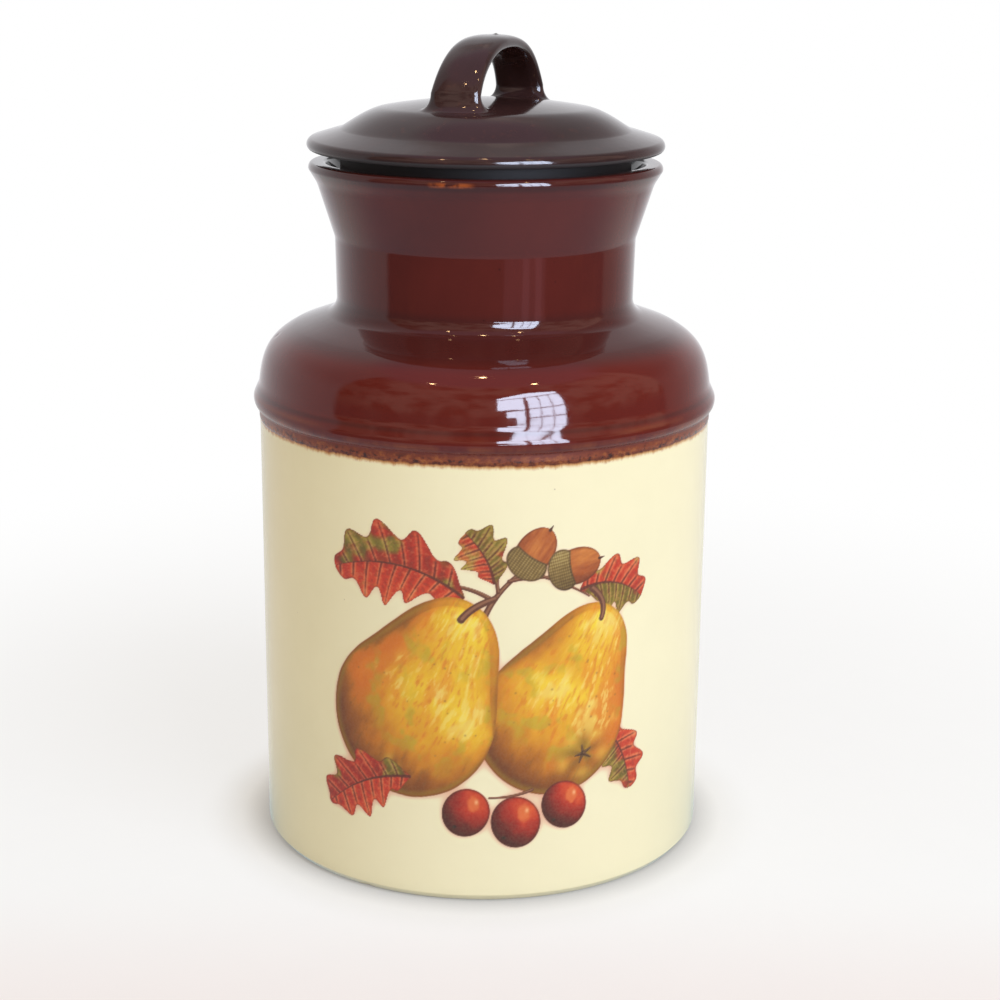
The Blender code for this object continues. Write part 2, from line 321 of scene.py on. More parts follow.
class Wires:
    """Adds nodes to one tree and links them."""

    def __init__(self, tree):
        self.tree = tree

    def put(self, socket, value):
        """Links a socket to another one, or gives it a plain value."""
        if isinstance(value, bpy.types.NodeSocket):
            self.tree.links.new(value, socket)
        else:
            socket.default_value = value

    def node(self, kind, inputs=None, **settings):
        """The outputs of a new node with its settings and inputs."""
        made = self.tree.nodes.new(kind)
        for name, value in settings.items():
            setattr(made, name, value)
        for key, value in (inputs or {}).items():
            self.put(made.inputs[key], value)
        return made.outputs

    def math(self, operation, *values):
        """The result of a Math node."""
        return self.node("ShaderNodeMath", dict(enumerate(values)), operation=operation)[0]

    def times(self, value, *others):
        """The product of two or more numbers."""
        for other in others:
            value = self.math("MULTIPLY", value, other)
        return value

    def plus(self, first, second):
        """The sum of two numbers."""
        return self.math("ADD", first, second)

    def mix(self, share, low, high):
        """A colour between two colours."""
        return self.node("ShaderNodeMix", {0: share, 6: low, 7: high}, data_type="RGBA")[2]

    def blend(self, share, low, high):
        """A number between two numbers."""
        return self.node("ShaderNodeMix", {0: share, 2: low, 3: high}, data_type="FLOAT")[0]

    def stained(self, colour, *stains):
        """The colour under stains of (mask, strength, colour), the first one lowest."""
        for mask, strength, stain in stains:
            colour = self.mix(self.times(mask, strength), colour, shade(stain))
        return colour

    def scaled(self, colour, factor):
        """A colour made darker or lighter."""
        return self.node("ShaderNodeVectorMath", {0: colour, "Scale": factor}, operation="SCALE")["Vector"]

    def ramp(self, value, low, high, slope="LINEAR"):
        """0 below low, 1 above high, and an even slope between them."""
        inputs = {"Value": value, "From Min": low, "From Max": high}
        return self.node("ShaderNodeMapRange", inputs, interpolation_type=slope)["Result"]

    def rise(self, value, low, high):
        """0 below low, 1 above high, and a smooth step between them."""
        return self.ramp(value, low, high, "SMOOTHSTEP")

    def between(self, value, low, high, soft):
        """1 between low and high and 0 outside, with soft edges."""
        over = self.rise(value, low - soft, low + soft)
        return self.times(over, self.rise(value, high + soft, high - soft))

    def noise(self, place, scale, detail=2.0, roughness=0.5):
        """Soft random values from 0 to 1."""
        inputs = {"Vector": place, "Scale": scale, "Detail": detail, "Roughness": roughness}
        return self.node("ShaderNodeTexNoise", inputs)["Fac"]

    def specks(self, place, scale, size, rarity):
        """1 in small round specks at random places, 0 elsewhere."""
        cells = self.node("ShaderNodeTexVoronoi", {"Vector": place, "Scale": scale})
        drawn = self.node("ShaderNodeSeparateColor", {"Color": cells["Color"]})
        near = self.rise(cells["Distance"], self.times(drawn[1], size), 0.0)
        return self.times(near, self.math("GREATER_THAN", drawn[0], rarity))

    def squeezed(self, place, share):
        """Coordinates with their height scaled by a share."""
        return self.node("ShaderNodeMapping", {"Vector": place, "Scale": (1.0, 1.0, share)})["Vector"]

    def parts(self, vector):
        """The three parts of a vector."""
        return self.node("ShaderNodeSeparateXYZ", {"Vector": vector})

    def azimuth(self, x, y):
        """Degrees round from the front, positive to the right."""
        return self.math("DEGREES", self.math("ARCTAN2", x, self.times(y, -1)))

    def shining(self, colour, strength=1.0):
        """A shader that only gives light."""
        return self.node("ShaderNodeEmission", {"Color": colour, "Strength": strength})[0]

    def shaders(self, share, low, high):
        """A shader between two shaders."""
        return self.node("ShaderNodeMixShader", {0: share, 1: low, 2: high})[0]

    def relief(self, place, scale, pits, depth, swell=0.0):
        """Fine ripples with pits in them and, where asked for, a swell four times as broad."""
        made = self.plus(self.noise(place, scale), self.times(pits, -depth))
        if swell:
            made = self.plus(made, self.times(self.noise(place, scale / 4, 1.0), swell))
        return made


def new_material(name):
    """An empty node material and its Wires."""
    material = bpy.data.materials.new(name)
    material.use_nodes = True
    material.node_tree.nodes.clear()
    return material, Wires(material.node_tree)


def fired(name, layer, colours, depth):
    """A material whose colour, roughness and relief come from a layer's function."""
    material, w = new_material(name)
    place = w.node("ShaderNodeTexCoord")["Object"]
    colour, roughness, relief = layer(w, place, w.parts(place)["Z"], colours)
    normal = w.node("ShaderNodeBump", {"Height": relief, "Distance": depth})["Normal"]
    look = {"Base Color": colour, "Roughness": roughness, "Normal": normal}
    w.node("ShaderNodeOutputMaterial", {"Surface": w.node("ShaderNodeBsdfPrincipled", look)["BSDF"]})
    return material


def cream_layer(w, place, height, colours):
    """The clear yellowish glaze of the wall and of the inside."""
    fine = w.noise(place, 160.0, 3.0)
    dots = w.specks(place, 210.0, 0.10, 0.93)
    broad = w.rise(w.noise(place, 22.0, 3.0), 0.25, 0.8)
    colour = w.stained(
        w.mix(broad, shade(colours.cream), shade(colours.cream, 0.955)),
        (fine, 0.12, CREAM_MOTTLE),
        (dots, 0.55, CREAM_DOTS),
        (w.specks(place, 150.0, 0.13, 0.88), 0.5, CREAM_PALE),
    )
    return colour, w.blend(fine, 0.10, 0.19), w.relief(place, 330.0, dots, 0.8)


def brown_layer(w, place, height, colours):
    """The red-brown glaze of the shoulder, neck and lip, with painted light on the lower shoulder and painted
    shade in the bead's groove and on the lip.
    """
    runs = w.noise(w.squeezed(place, 0.22), 120.0, 4.0, 0.6)
    broad = w.noise(place, 26.0, 3.0)
    dark = w.specks(place, 260.0, 0.16, 0.80)
    colour = w.stained(
        w.mix(w.rise(broad, 0.3, 0.75), shade(colours.brown, 0.86), shade(colours.brown, 1.12)),
        (w.rise(runs, 0.5, 0.85), 0.3, BROWN_RUNS),
        # Painted light: the lower shoulder is made lighter and redder than the neck, which the lid and flare
        # shade
        (w.rise(height, *LOWER_SHOULDER), 0.42, LIT_SHOULDER_RED),
        # Darker brown round the foot of the neck
        (w.between(height, *NECK_FOOT_BAND, 0.0020), 0.55, NECK_FOOT_BROWN),
        (dark, 0.6, DARK_SPECKS),
    )
    crest = w.times(w.between(height, *BEAD_CREST, 0.0006), w.rise(broad, 0.42, 0.62), 0.35)
    # Painted shade: the groove over the bead and the top of the lip, which the lid's rim shades, are darkened
    groove = w.between(height, *BEAD_GROOVE, 0.0005)
    lip = w.rise(height, *LIP_SHADE_SPAN)
    thin = w.math("SUBTRACT", w.rise(height, *THIN_SETS_IN), w.rise(height, *THIN_FADES))
    thin = w.times(thin, w.rise(runs, 0.35, 0.65), 0.75)
    colour = w.mix(crest, colour, shade(colours.rust, 0.75))
    painted_shade = w.math("MAXIMUM", w.times(groove, 0.40), w.times(lip, 0.55))
    colour = w.mix(painted_shade, colour, shade(SHADE_BROWN))
    colour = w.mix(thin, colour, shade(colours.rust, 0.8))
    colour = w.stained(colour, (lip_streak(w, place, height), 0.70, STREAK_RUST))
    return colour, w.blend(w.noise(place, 90.0), 0.035, 0.085), w.relief(place, 300.0, dark, 0.7, 1.4)


def lip_streak(w, place, height):
    """Where along the front of the lip the glaze has run thinnest."""
    x, y, _ = w.parts(place)
    across = w.times(w.between(x, *LIP_STREAK, 0.0018), w.rise(w.noise(place, 420.0), 0.34, 0.56))
    high = w.between(height, LIP_CENTRE - 0.0010, LIP_CENTRE + 0.0002, 0.0004)
    return w.times(across, high, w.math("LESS_THAN", y, 0.0))


def line_layer(w, place, height, colours):
    """The band where the brown glaze ends in a ragged rust edge over the cream."""
    cream, cream_roughness, cream_relief = cream_layer(w, place, height, colours)
    brown, brown_roughness, brown_relief = brown_layer(w, place, height, colours)
    wave = w.times(w.noise(place, 45.0), 0.0012)
    teeth = w.times(w.noise(w.squeezed(place, 0.3), 620.0, 3.0, 0.6), 0.0014)
    over = w.plus(w.math("SUBTRACT", height, GLAZE_LINE + 0.0018), w.plus(wave, teeth))
    grain = w.noise(w.squeezed(place, 1.3), 520.0, 3.0, 0.65)
    runny = w.blend(w.rise(w.noise(place, 95.0), 0.38, 0.60), 0.15, 0.70)
    bright = w.times(w.rise(grain, 0.46, 0.68), w.rise(over, 0.0026, 0.0006), runny)
    spots = w.times(w.specks(place, 620.0, 0.62, 0.45), 0.8)
    near_edge = w.times(w.rise(over, -0.0011, -0.0005), w.rise(over, 0.0020, 0.0002))
    dark = w.times(w.math("MAXIMUM", w.rise(grain, 0.48, 0.36), spots), near_edge)
    edge = w.mix(bright, edge_tone(w, over, colours), shade(EDGE_BRIGHT))
    edge = w.mix(dark, edge, shade(EDGE_DARK))
    covered = w.rise(over, 0.0018, 0.0046)
    glazed = w.rise(over, -0.0008, 0.0004)
    colour = w.mix(covered, w.mix(w.rise(over, -0.0024, -0.0014), cream, edge), brown)
    roughness = w.blend(glazed, cream_roughness, w.blend(covered, 0.30, brown_roughness))
    return colour, roughness, w.plus(w.blend(glazed, cream_relief, brown_relief), w.times(glazed, 9.0))


def edge_tone(w, over, colours):
    """The brown glaze's colour by how far over its ragged edge a spot lies."""
    made = w.node("ShaderNodeValToRGB", {"Fac": w.ramp(over, -0.0024, 0.0040)})["Color"]
    elements = made.node.color_ramp.elements
    tones = (*EDGE_TONES, (1.0, tuple(colours.brown)))
    while len(elements) < len(tones):
        elements.new(0.5)
    for element, (position, colour) in zip(elements, tones):
        element.position = position
        element.color = shade(colour)
    return made


def clay_layer(w, place, height, colours):
    """Bare fired clay under the jar."""
    grain = w.noise(place, 900.0, 4.0, 0.65)
    colour = w.mix(grain, shade(colours.clay, 0.82), shade(colours.clay, 1.08))
    colour = w.stained(colour, (w.specks(place, 420.0, 0.20, 0.75), 0.5, CLAY_IRON))
    return colour, w.blend(grain, 0.72, 0.9), grain


def lid_layer(w, place, height, colours):
    """The darker brown glaze of the lid, dull on its underside."""
    pits = w.specks(place, 330.0, 0.15, 0.80)
    under = w.rise(height, RIM_HEIGHT + RIM_BASE + 0.0007, RIM_HEIGHT + RIM_BASE)
    broad = w.rise(w.noise(place, 30.0, 3.0), 0.3, 0.75)
    colour = w.stained(
        w.mix(broad, shade(colours.lid_brown, 0.8), shade(colours.lid_brown, 1.25)),
        (w.rise(w.noise(place, 420.0, 4.0, 0.6), 0.55, 0.8), 0.35, LID_GRAIN),
        (pits, 0.7, LID_PITS),
        (under, 0.8, LID_UNDERSIDE),
    )
    roughness = w.blend(under, w.blend(w.noise(place, 110.0), 0.06, 0.13), 0.65)
    return colour, roughness, w.relief(place, 320.0, pits, 0.8, 1.5)


def print_layer(w, place, height, colours):
    """The cream glaze with the print fired into it."""
    cream, roughness, relief = cream_layer(w, place, height, colours)
    paint = w.node("ShaderNodeAttribute", attribute_name="paint")
    ink = w.stained(paint["Color"], (w.noise(place, 1500.0), 0.08, INK_GRAIN))
    return w.mix(w.rise(paint["Alpha"], 0.04, 0.96), cream, ink), roughness, relief


def arc(centre_r, centre_z, radius, start, end, steps):
    """Points (r, z) on an arc, from one angle to the other, where 0 points outwards."""
    angles = [start + (end - start) * i / steps for i in range(steps + 1)]
    return [(centre_r + radius * math.cos(a), centre_z + radius * math.sin(a)) for a in angles]


def bezier(p0, p1, p2, p3, steps):
    """Points (r, z) on a cubic curve, both ends included."""
    points = []
    for i in range(steps + 1):
        t = i / steps
        weights = ((1 - t) ** 3, 3 * (1 - t) ** 2 * t, 3 * (1 - t) * t**2, t**3)
        points.append(tuple(sum(w * p[k] for w, p in zip(weights, (p0, p1, p2, p3))) for k in (0, 1)))
    return points


def rounded(before, corner, after, radius, steps):
    """Points of the arc that rounds the corner between two straight stretches of a profile."""
    at = Vector(corner)
    back = Vector(before) - at
    on = Vector(after) - at
    half = back.angle(on) / 2
    reach = min(radius / math.tan(half), ROUNDING_SHARE * min(back.length, on.length))
    radius = reach * math.tan(half)
    back.normalize()
    on.normalize()
    centre = at + (back + on).normalized() * (radius / math.sin(half))
    first = at + back * reach - centre
    sweep = first.angle_signed(at + on * reach - centre)
    return [tuple(centre + Matrix.Rotation(-sweep * i / steps, 2) @ first) for i in range(steps + 1)]


def inset(points, distance):
    """The profile moved to its left by a distance, measured square to it."""
    moved = []
    for i, point in enumerate(points):
        before = Vector(points[max(i - 1, 0)])
        after = Vector(points[min(i + 1, len(points) - 1)])
        along = (after - before).normalized()
        moved.append((point[0] - along.y * distance, point[1] + along.x * distance))
    return moved


def divided(points):
    """The profile with its long straight stretches cut into shorter ones."""
    made = [points[0]]
    for before, after in zip(points, points[1:]):
        parts = max(1, math.ceil(math.dist(before, after) / LONGEST_STEP))
        for i in range(1, parts + 1):
            made.append(tuple(b + (a - b) * i / parts for b, a in zip(before, after)))
    return made


def shoulder_curve(steps):
    """The outside of the shoulder, from the top of the bead up to the fillet at the neck."""
    start = Vector((UPPER_RADIUS, BODY_HEIGHT))
    end = Vector((NECK_RADIUS + NECK_FILLET, SHOULDER_TOP - NECK_FILLET * math.tan(SHOULDER_SLOPE)))
    lower = start + SHOULDER_LOWER * Vector((-math.sin(SHOULDER_LEAN), math.cos(SHOULDER_LEAN)))
    upper = end + SHOULDER_UPPER * Vector((math.cos(SHOULDER_SLOPE), -math.sin(SHOULDER_SLOPE)))
    return bezier(start, lower, upper, end, steps)


def jar_stretches():
    """The jar's profile as (finish, points) stretches, from under the base round to the floor inside."""
    foot_outer = BODY_RADIUS - BEVEL_WIDTH
    foot_inner = foot_outer - FOOT_WIDTH
    recess = (foot_inner - RECESS_DEPTH, RECESS_DEPTH)
    foot = (
        [(0, RECESS_DEPTH)]
        + rounded((0, RECESS_DEPTH), recess, (foot_inner, 0), FOOT_ROUNDS[0], 3)
        + rounded(recess, (foot_inner, 0), (foot_outer, 0), FOOT_ROUNDS[1], 3)
        + [(foot_outer - 0.0006, 0)]
    )
    bevel_top = (BODY_RADIUS, BEVEL_RISE)
    wall = (
        rounded((foot_inner, 0), (foot_outer, 0), bevel_top, FOOT_ROUNDS[2], 4)
        + rounded((foot_outer, 0), bevel_top, (BODY_RADIUS, GLAZE_LINE), FOOT_ROUNDS[3], 4)
        + [(BODY_RADIUS, GLAZE_LINE - 0.0030)]
    )
    line = bezier(
        (BODY_RADIUS, GLAZE_LINE - 0.0008),
        (BODY_RADIUS, GLAZE_LINE - 0.0003),
        (UPPER_RADIUS, GLAZE_LINE - 0.0003),
        (UPPER_RADIUS, GLAZE_LINE + 0.0003),
        6,
    )
    bead_centre = UPPER_RADIUS + BEAD_PROUD - BEAD_ROUND
    bead = arc(bead_centre, BEAD_HEIGHT - BEAD_FALL, BEAD_ROUND, -BEAD_SWING, GROOVE_TILT, 16)
    groove = (UPPER_RADIUS - GROOVE_RISE * math.tan(SHOULDER_LEAN), BODY_HEIGHT + GROOVE_RISE)
    line += rounded(line[-1], bead[0], bead[2], 0.0012, 4) + bead[2:8]
    shoulder = shoulder_curve(44)
    neck_foot = (NECK_RADIUS, SHOULDER_TOP)
    waist = (WAIST_RADIUS, WAIST_HEIGHT)
    mouth = (MOUTH_RADIUS, MOUTH_HEIGHT)
    lip_middle = LIP_CENTRE - LIP_FALL
    lip = arc(LIP_RADIUS - LIP_ROUND, lip_middle, LIP_ROUND, -LIP_START, 0, 6)
    turn = (MOUTH_RADIUS - MOUTH_DROP * math.tan(FLARE_ANGLE), MOUTH_HEIGHT - MOUTH_DROP)
    lip_over = []
    for r, z in arc(LIP_RADIUS - LIP_ROUND, lip_middle, LIP_ROUND, 0, math.pi / 2, 10):
        lip_over.append((r, lip_middle + (z - lip_middle) * (1 + LIP_FALL / LIP_ROUND)))
    inner_mouth = (MOUTH_RADIUS - NECK_WALL, MOUTH_HEIGHT)
    brim = (inner_mouth[0] + (LIP_TOP - MOUTH_HEIGHT) * math.tan(FLARE_ANGLE), LIP_TOP)
    bore = (BORE_RADIUS, WAIST_HEIGHT)
    inner_neck = (NECK_RADIUS - NECK_WALL, SHOULDER_TOP)
    upper = (
        bead[7:]
        + rounded(bead[-1], groove, shoulder[5], GROOVE_ROUND, 12)
        + shoulder[5:-8]
        + rounded(shoulder[-9], neck_foot, waist, NECK_FILLET, 14)
        + rounded(neck_foot, waist, mouth, WAIST_ROUND, 8)
        + rounded(waist, turn, lip[0], MOUTH_BLEND, 8)
        + lip[:-1]
        + lip_over
        + rounded((LIP_RADIUS - LIP_ROUND, LIP_TOP), brim, inner_mouth, LIP_ROUND, 8)
        + rounded(inner_mouth, bore, inner_neck, WAIST_ROUND, 6)
        + [inner_neck]
    )
    vault = inset(shoulder_curve(20), BODY_WALL)[::-1]
    floor_corner = (UPPER_RADIUS - BODY_WALL, FLOOR)
    inside = vault + rounded(vault[-1], floor_corner, (0, FLOOR), FLOOR_FILLET, 12) + [(0, FLOOR)]
    return [(CLAY, foot), (WALL, wall), (LINE, line), (UPPER, upper), (WALL, inside)]


def joined_stretches(stretches):
    """All stretches as one list of points, with the finish of the step after each point."""
    points = []
    finishes = []
    for finish, stretch in stretches:
        path = divided([*points[-1:], *stretch])
        path = [p for i, p in enumerate(path) if i == 0 or math.dist(p, path[i - 1]) > 4 * MERGE_DISTANCE]
        points.extend(path[1:] if points else path)
        finishes.extend([finish] * (len(path) - 1))
    return points, [*finishes, finishes[-1]]


def linked(name, data):
    """A new object in the scene."""
    made = bpy.data.objects.new(name, data)
    bpy.context.scene.collection.objects.link(made)
    return made


def turning_tree():
    """A node tree that turns a profile round the axis and gives each stretch its material."""
    tree = bpy.data.node_groups.get("turned_profile")
    if tree:
        return tree
    tree = bpy.data.node_groups.new("turned_profile", "GeometryNodeTree")
    face = tree.interface
    face.new_socket(name="Profile", in_out="INPUT", socket_type="NodeSocketGeometry")
    face.new_socket(name="Segments", in_out="INPUT", socket_type="NodeSocketInt").default_value = 96
    for label in FINISH_LABELS:
        face.new_socket(name=label, in_out="INPUT", socket_type="NodeSocketMaterial")
    face.new_socket(name="Turned", in_out="OUTPUT", socket_type="NodeSocketGeometry")
    w = Wires(tree)
    given = w.node("NodeGroupInput")
    profile, segments = given["Profile"], given["Segments"]
    count = w.node("GeometryNodeAttributeDomainSize", {"Geometry": profile})["Point Count"]
    around = w.plus(segments, 1)
    shape = w.node("GeometryNodeMeshGrid", {"Vertices X": count, "Vertices Y": around})["Mesh"]
    index = w.node("GeometryNodeInputIndex")["Index"]
    row, face_row = [w.math("FLOOR", w.math("DIVIDE", w.plus(index, 0.5), n)) for n in (around, segments)]
    column = w.math("SUBTRACT", index, w.times(row, around))
    position = w.node("GeometryNodeInputPosition")["Position"]
    point = {"Geometry": profile, "Value": position, "Index": row}
    radius, _, height = w.parts(w.node("GeometryNodeSampleIndex", point, data_type="FLOAT_VECTOR")["Value"])
    angle = w.math("DIVIDE", w.times(column, 2 * math.pi), segments)
    across, back = [w.times(radius, w.math(part, angle)) for part in ("COSINE", "SINE")]
    place = w.node("ShaderNodeCombineXYZ", {"X": across, "Y": back, "Z": height})[0]
    shape = w.node("GeometryNodeSetPosition", {"Geometry": shape, "Position": place})["Geometry"]
    mark = w.node("GeometryNodeInputNamedAttribute", {"Name": "finish"}, data_type="INT")["Attribute"]
    finish = {"Geometry": profile, "Value": mark, "Index": face_row}
    finish = w.node("GeometryNodeSampleIndex", finish, data_type="INT")["Value"]
    stored = {"Geometry": shape, "Name": "finish", "Value": finish}
    shape = w.node("GeometryNodeStoreNamedAttribute", stored, data_type="INT", domain="FACE")["Geometry"]
    closing = {"Geometry": shape, "Distance": MERGE_DISTANCE}
    shape = w.node("GeometryNodeMergeByDistance", closing)["Geometry"]
    shape = w.node("GeometryNodeSetShadeSmooth", {"Geometry": shape})["Geometry"]
    shape = w.node("GeometryNodeRealizeInstances", {"Geometry": shape})["Geometry"]
    for kind, label in enumerate(FINISH_LABELS):
        chosen = w.node("FunctionNodeCompare", {"A": mark, "B": kind}, data_type="INT", operation="EQUAL")
        inputs = {"Geometry": shape, "Selection": chosen["Result"], "Material": given[label]}
        shape = w.node("GeometryNodeSetMaterial", inputs)["Geometry"]
    w.node("NodeGroupOutput", {"Turned": shape})
    return tree


def turned(name, stretches, materials, segments):
    """A plain mesh made by turning a profile, with one material for each finish."""
    points, finishes = joined_stretches(stretches)
    mesh = bpy.data.meshes.new(name + "_profile")
    mesh.from_pydata([(r, 0, z) for r, z in points], [(i, i + 1) for i in range(len(points) - 1)], [])
    mesh.attributes.new("finish", "INT", "POINT").data.foreach_set("value", finishes)
    source = linked(name + "_profile", mesh)
    turning = source.modifiers.new("turning", "NODES")
    turning.node_group = turning_tree()
    values = {"Segments": segments, **dict(zip(FINISH_LABELS, materials))}
    for socket in turning.node_group.interface.items_tree:
        if socket.name in values:
            turning[socket.identifier] = values[socket.name]
    graph = bpy.context.evaluated_depsgraph_get()
    made = bpy.data.meshes.new_from_object(source.evaluated_get(graph), depsgraph=graph)
    bpy.data.objects.remove(source)
    made.name = name
    made.attributes.remove(made.attributes["finish"])
    return made


def coordinates(mesh):
    """A mesh's points as an array."""
    flat = np.empty(len(mesh.vertices) * 3, np.float32)
    mesh.vertices.foreach_get("co", flat)
    return flat.reshape(-1, 3).astype(float)


def set_coordinates(mesh, points):
    """Writes changed points back to a mesh."""
    mesh.vertices.foreach_set("co", points.astype(np.float32).ravel())
    mesh.update()


# Waves in the fired walls, as (share, waves round, turn, turn for each metre of height)
WAVES = ((0.45, 2, 0.9, 9), (0.30, 3, -1.7, -31), (0.16, 5, 2.6, 74), (0.10, 9, -0.4, 130))


def uneven(points, amount):
    """The points moved out or in a little, as a fired clay wall wanders from true."""
    x, y, z = points.T
    angle = np.arctan2(x, -y)
    radius = np.hypot(x, y)
    waves = sum(share * np.cos(count * angle + turn + climb * z) for share, count, turn, climb in WAVES)
    scale = 1 + amount * waves * np.clip(radius / 0.02, 0, 1) / np.maximum(radius, 1e-6)
    return np.column_stack((x * scale, y * scale, z))


def dented(points, centre, reach, depth):
    """The points near a spot pushed towards the axis, for a chip or a knock."""
    away = np.linalg.norm((points - np.array(centre)) / np.array(reach), axis=1)
    push = depth * np.clip(1 - away**2, 0, 1) ** 2
    radius = np.maximum(np.hypot(points[:, 0], points[:, 1]), 1e-6)
    moved = points.copy()
    moved[:, :2] *= (1 - push / radius)[:, None]
    return moved


def piece(name, mesh, body):
    """A finished piece at the origin, riding on its body."""
    made = linked(name, mesh)
    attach(made, body)
    return made


def refuse_outside(made, node):
    """Raises an error if a piece's box departs from the box of the node that it stands for."""
    points = coordinates(made.data)
    low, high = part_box(node)
    off = max(np.abs(points.min(0) - np.array(low)).max(), np.abs(points.max(0) - np.array(high)).max())
    if off > BOX_TOLERANCE:
        raise RuntimeError(f"{made.name} is {off * 1000:.2f} mm off the box of {node}")


def plug_bottom():
    """Height of the plug's lower end, whose rounded edge seats on the flare of the bore."""
    across = (PLUG_RADIUS - PLUG_EDGE - BORE_RADIUS) * math.cos(FLARE_ANGLE)
    centre = WAIST_HEIGHT + (PLUG_EDGE + SEAT_GAP + across) / math.sin(FLARE_ANGLE)
    return centre - PLUG_EDGE - RIM_HEIGHT


def dome_height(radius):
    """Height of the lid's dome over the rim's underside, at a distance from the axis."""
    return DOME_RISE - DOME_SAG * (radius / DOME_RADIUS) ** 2


def cover_profile():
    """The lid's outside from the middle of the dome, down the hollow step and the flange, to the rim."""
    dome = [(DOME_RADIUS * i / 30, dome_height(DOME_RADIUS * i / 30)) for i in range(31)]
    middle = RIM_BASE + RIM_ROUND
    rim = arc(RIM_RADIUS - RIM_CROWN, middle, RIM_CROWN, math.pi / 2 - FLANGE_SLOPE, 0, 14)
    rim += arc(RIM_RADIUS - RIM_ROUND, middle, RIM_ROUND, 0, -math.pi / 2, 12)[1:]
    flange = (FLANGE_RADIUS, rim[0][1] + (rim[0][0] - FLANGE_RADIUS) * math.tan(FLANGE_SLOPE))
    slope = 2 * DOME_SAG / DOME_RADIUS
    high = (DOME_RADIUS + DOME_PULL * STEP_WIDTH, dome[-1][1] - DOME_PULL * STEP_WIDTH * slope)
    low = (
        FLANGE_RADIUS - FLANGE_PULL * STEP_WIDTH,
        flange[1] + FLANGE_PULL * STEP_WIDTH * math.tan(FLANGE_SLOPE),
    )
    return dome + bezier(dome[-1], high, low, flange, 26)[1:] + rim


def cover_height(radius):
    """Height of the lid's upper face over the rim's underside, at distances from the axis."""
    outline = np.array(cover_profile()[:-13])
    return np.interp(radius, outline[:, 0], outline[:, 1])


def lid_stretches():
    """The lid's profile as one stretch, from where its crown begins round to the top of the hollow."""
    outside = [p for p in cover_profile() if p[0] > CROWN_RADIUS + 0.0001]
    start = (CROWN_RADIUS, float(cover_height(CROWN_RADIUS)))
    bottom = plug_bottom()
    radii = [HOLLOW_RADIUS * i / 12 for i in range(12, -1, -1)]
    roof = [(radius, dome_height(radius) - DOME_WALL) for radius in radii]
    underside = (
        rounded((RIM_RADIUS, RIM_BASE), (PLUG_RADIUS, RIM_BASE), (PLUG_RADIUS, bottom), PLUG_EDGE, 6)
        + rounded((PLUG_RADIUS, 0), (PLUG_RADIUS, bottom), (HOLLOW_RADIUS, bottom), PLUG_EDGE, 10)
        + rounded((PLUG_RADIUS, bottom), (HOLLOW_RADIUS, bottom), (HOLLOW_RADIUS, 0), PLUG_EDGE, 8)
        + rounded((HOLLOW_RADIUS, 0), roof[0], roof[1], DOME_WALL, 8)
        + roof[1:]
    )
    profile = [start, *outside, *underside]
    return [(WALL, [(r, z + RIM_HEIGHT) for r, z in profile])]


def arch_share(share):
    """How far up the arch a point of the strap is, from 0 at either foot to 1 at the crown."""
    return abs(math.sin(math.pi * share)) ** (2 / ARCH_SQUARENESS)


def strap_path(share):
    """A point on the strap's centre line, from its front foot at share 0 to its back foot at share 1."""
    angle = math.pi * share
    power = 2 / ARCH_SQUARENESS
    up = arch_share(share)
    reach = STRAP_SPAN * (1 - LEG_LEAN * up)
    along = -math.copysign(abs(math.cos(angle)) ** power * reach, math.cos(angle))
    foot = dome_height(STRAP_SPAN) - FOOT_SINK
    crown = DOME_RISE + STRAP_RISE - foot
    aside = math.copysign(LEG_SWING * (1 - up) ** 2, math.cos(angle))
    return Vector((along + STRAP_SKEW * up**2, aside, foot + crown * up))


def closed_outwards(mesh):
    """Makes the faces of a mesh point outwards, and raises an error if it isn't closed."""
    shape = bmesh.new()
    shape.from_mesh(mesh)
    loose = sum(len(edge.link_faces) != 2 for edge in shape.edges)
    if loose:
        raise RuntimeError(f"{mesh.name} has {loose} open edges")
    if shape.calc_volume(signed=True) < 0:
        bmesh.ops.reverse_faces(shape, faces=shape.faces)
        shape.to_mesh(mesh)
    shape.free()


def squarish(angles):
    """How far across and how far out a squarish oval reaches at angles round it, as shares."""
    parts = np.cos(angles), np.sin(angles)
    return [np.sign(part) * np.abs(part) ** (2 / SECTION_SQUARENESS) for part in parts]


def section_angles():
    """Angles round the strap's section that space its points evenly."""
    angles = np.linspace(0, 2 * np.pi, 1441)
    across, out = squarish(angles)
    steps = np.hypot(np.diff(across * STRAP_WIDTH / 2), np.diff(out * STRAP_THICKNESS / 2))
    run = np.concatenate(([0], np.cumsum(steps)))
    return np.interp(np.arange(STRAP_SIDES) / STRAP_SIDES * run[-1], run, angles)


def strap_ring(share, angles):
    """A ring of points round the strap, square to its path."""
    before = strap_path(max(share - TANGENT_STEP, 0))
    tangent = (strap_path(min(share + TANGENT_STEP, 1)) - before).normalized()
    sideways = Vector((0, 1, 0))
    across, out = squarish(angles)
    across *= STRAP_WIDTH / 2 + LEG_SPREAD * (1 - arch_share(share)) ** 2
    out *= STRAP_THICKNESS / 2
    off = across[:, None] * np.array(sideways) + out[:, None] * np.array(tangent.cross(sideways).normalized())
    return np.array(strap_path(share)) + off


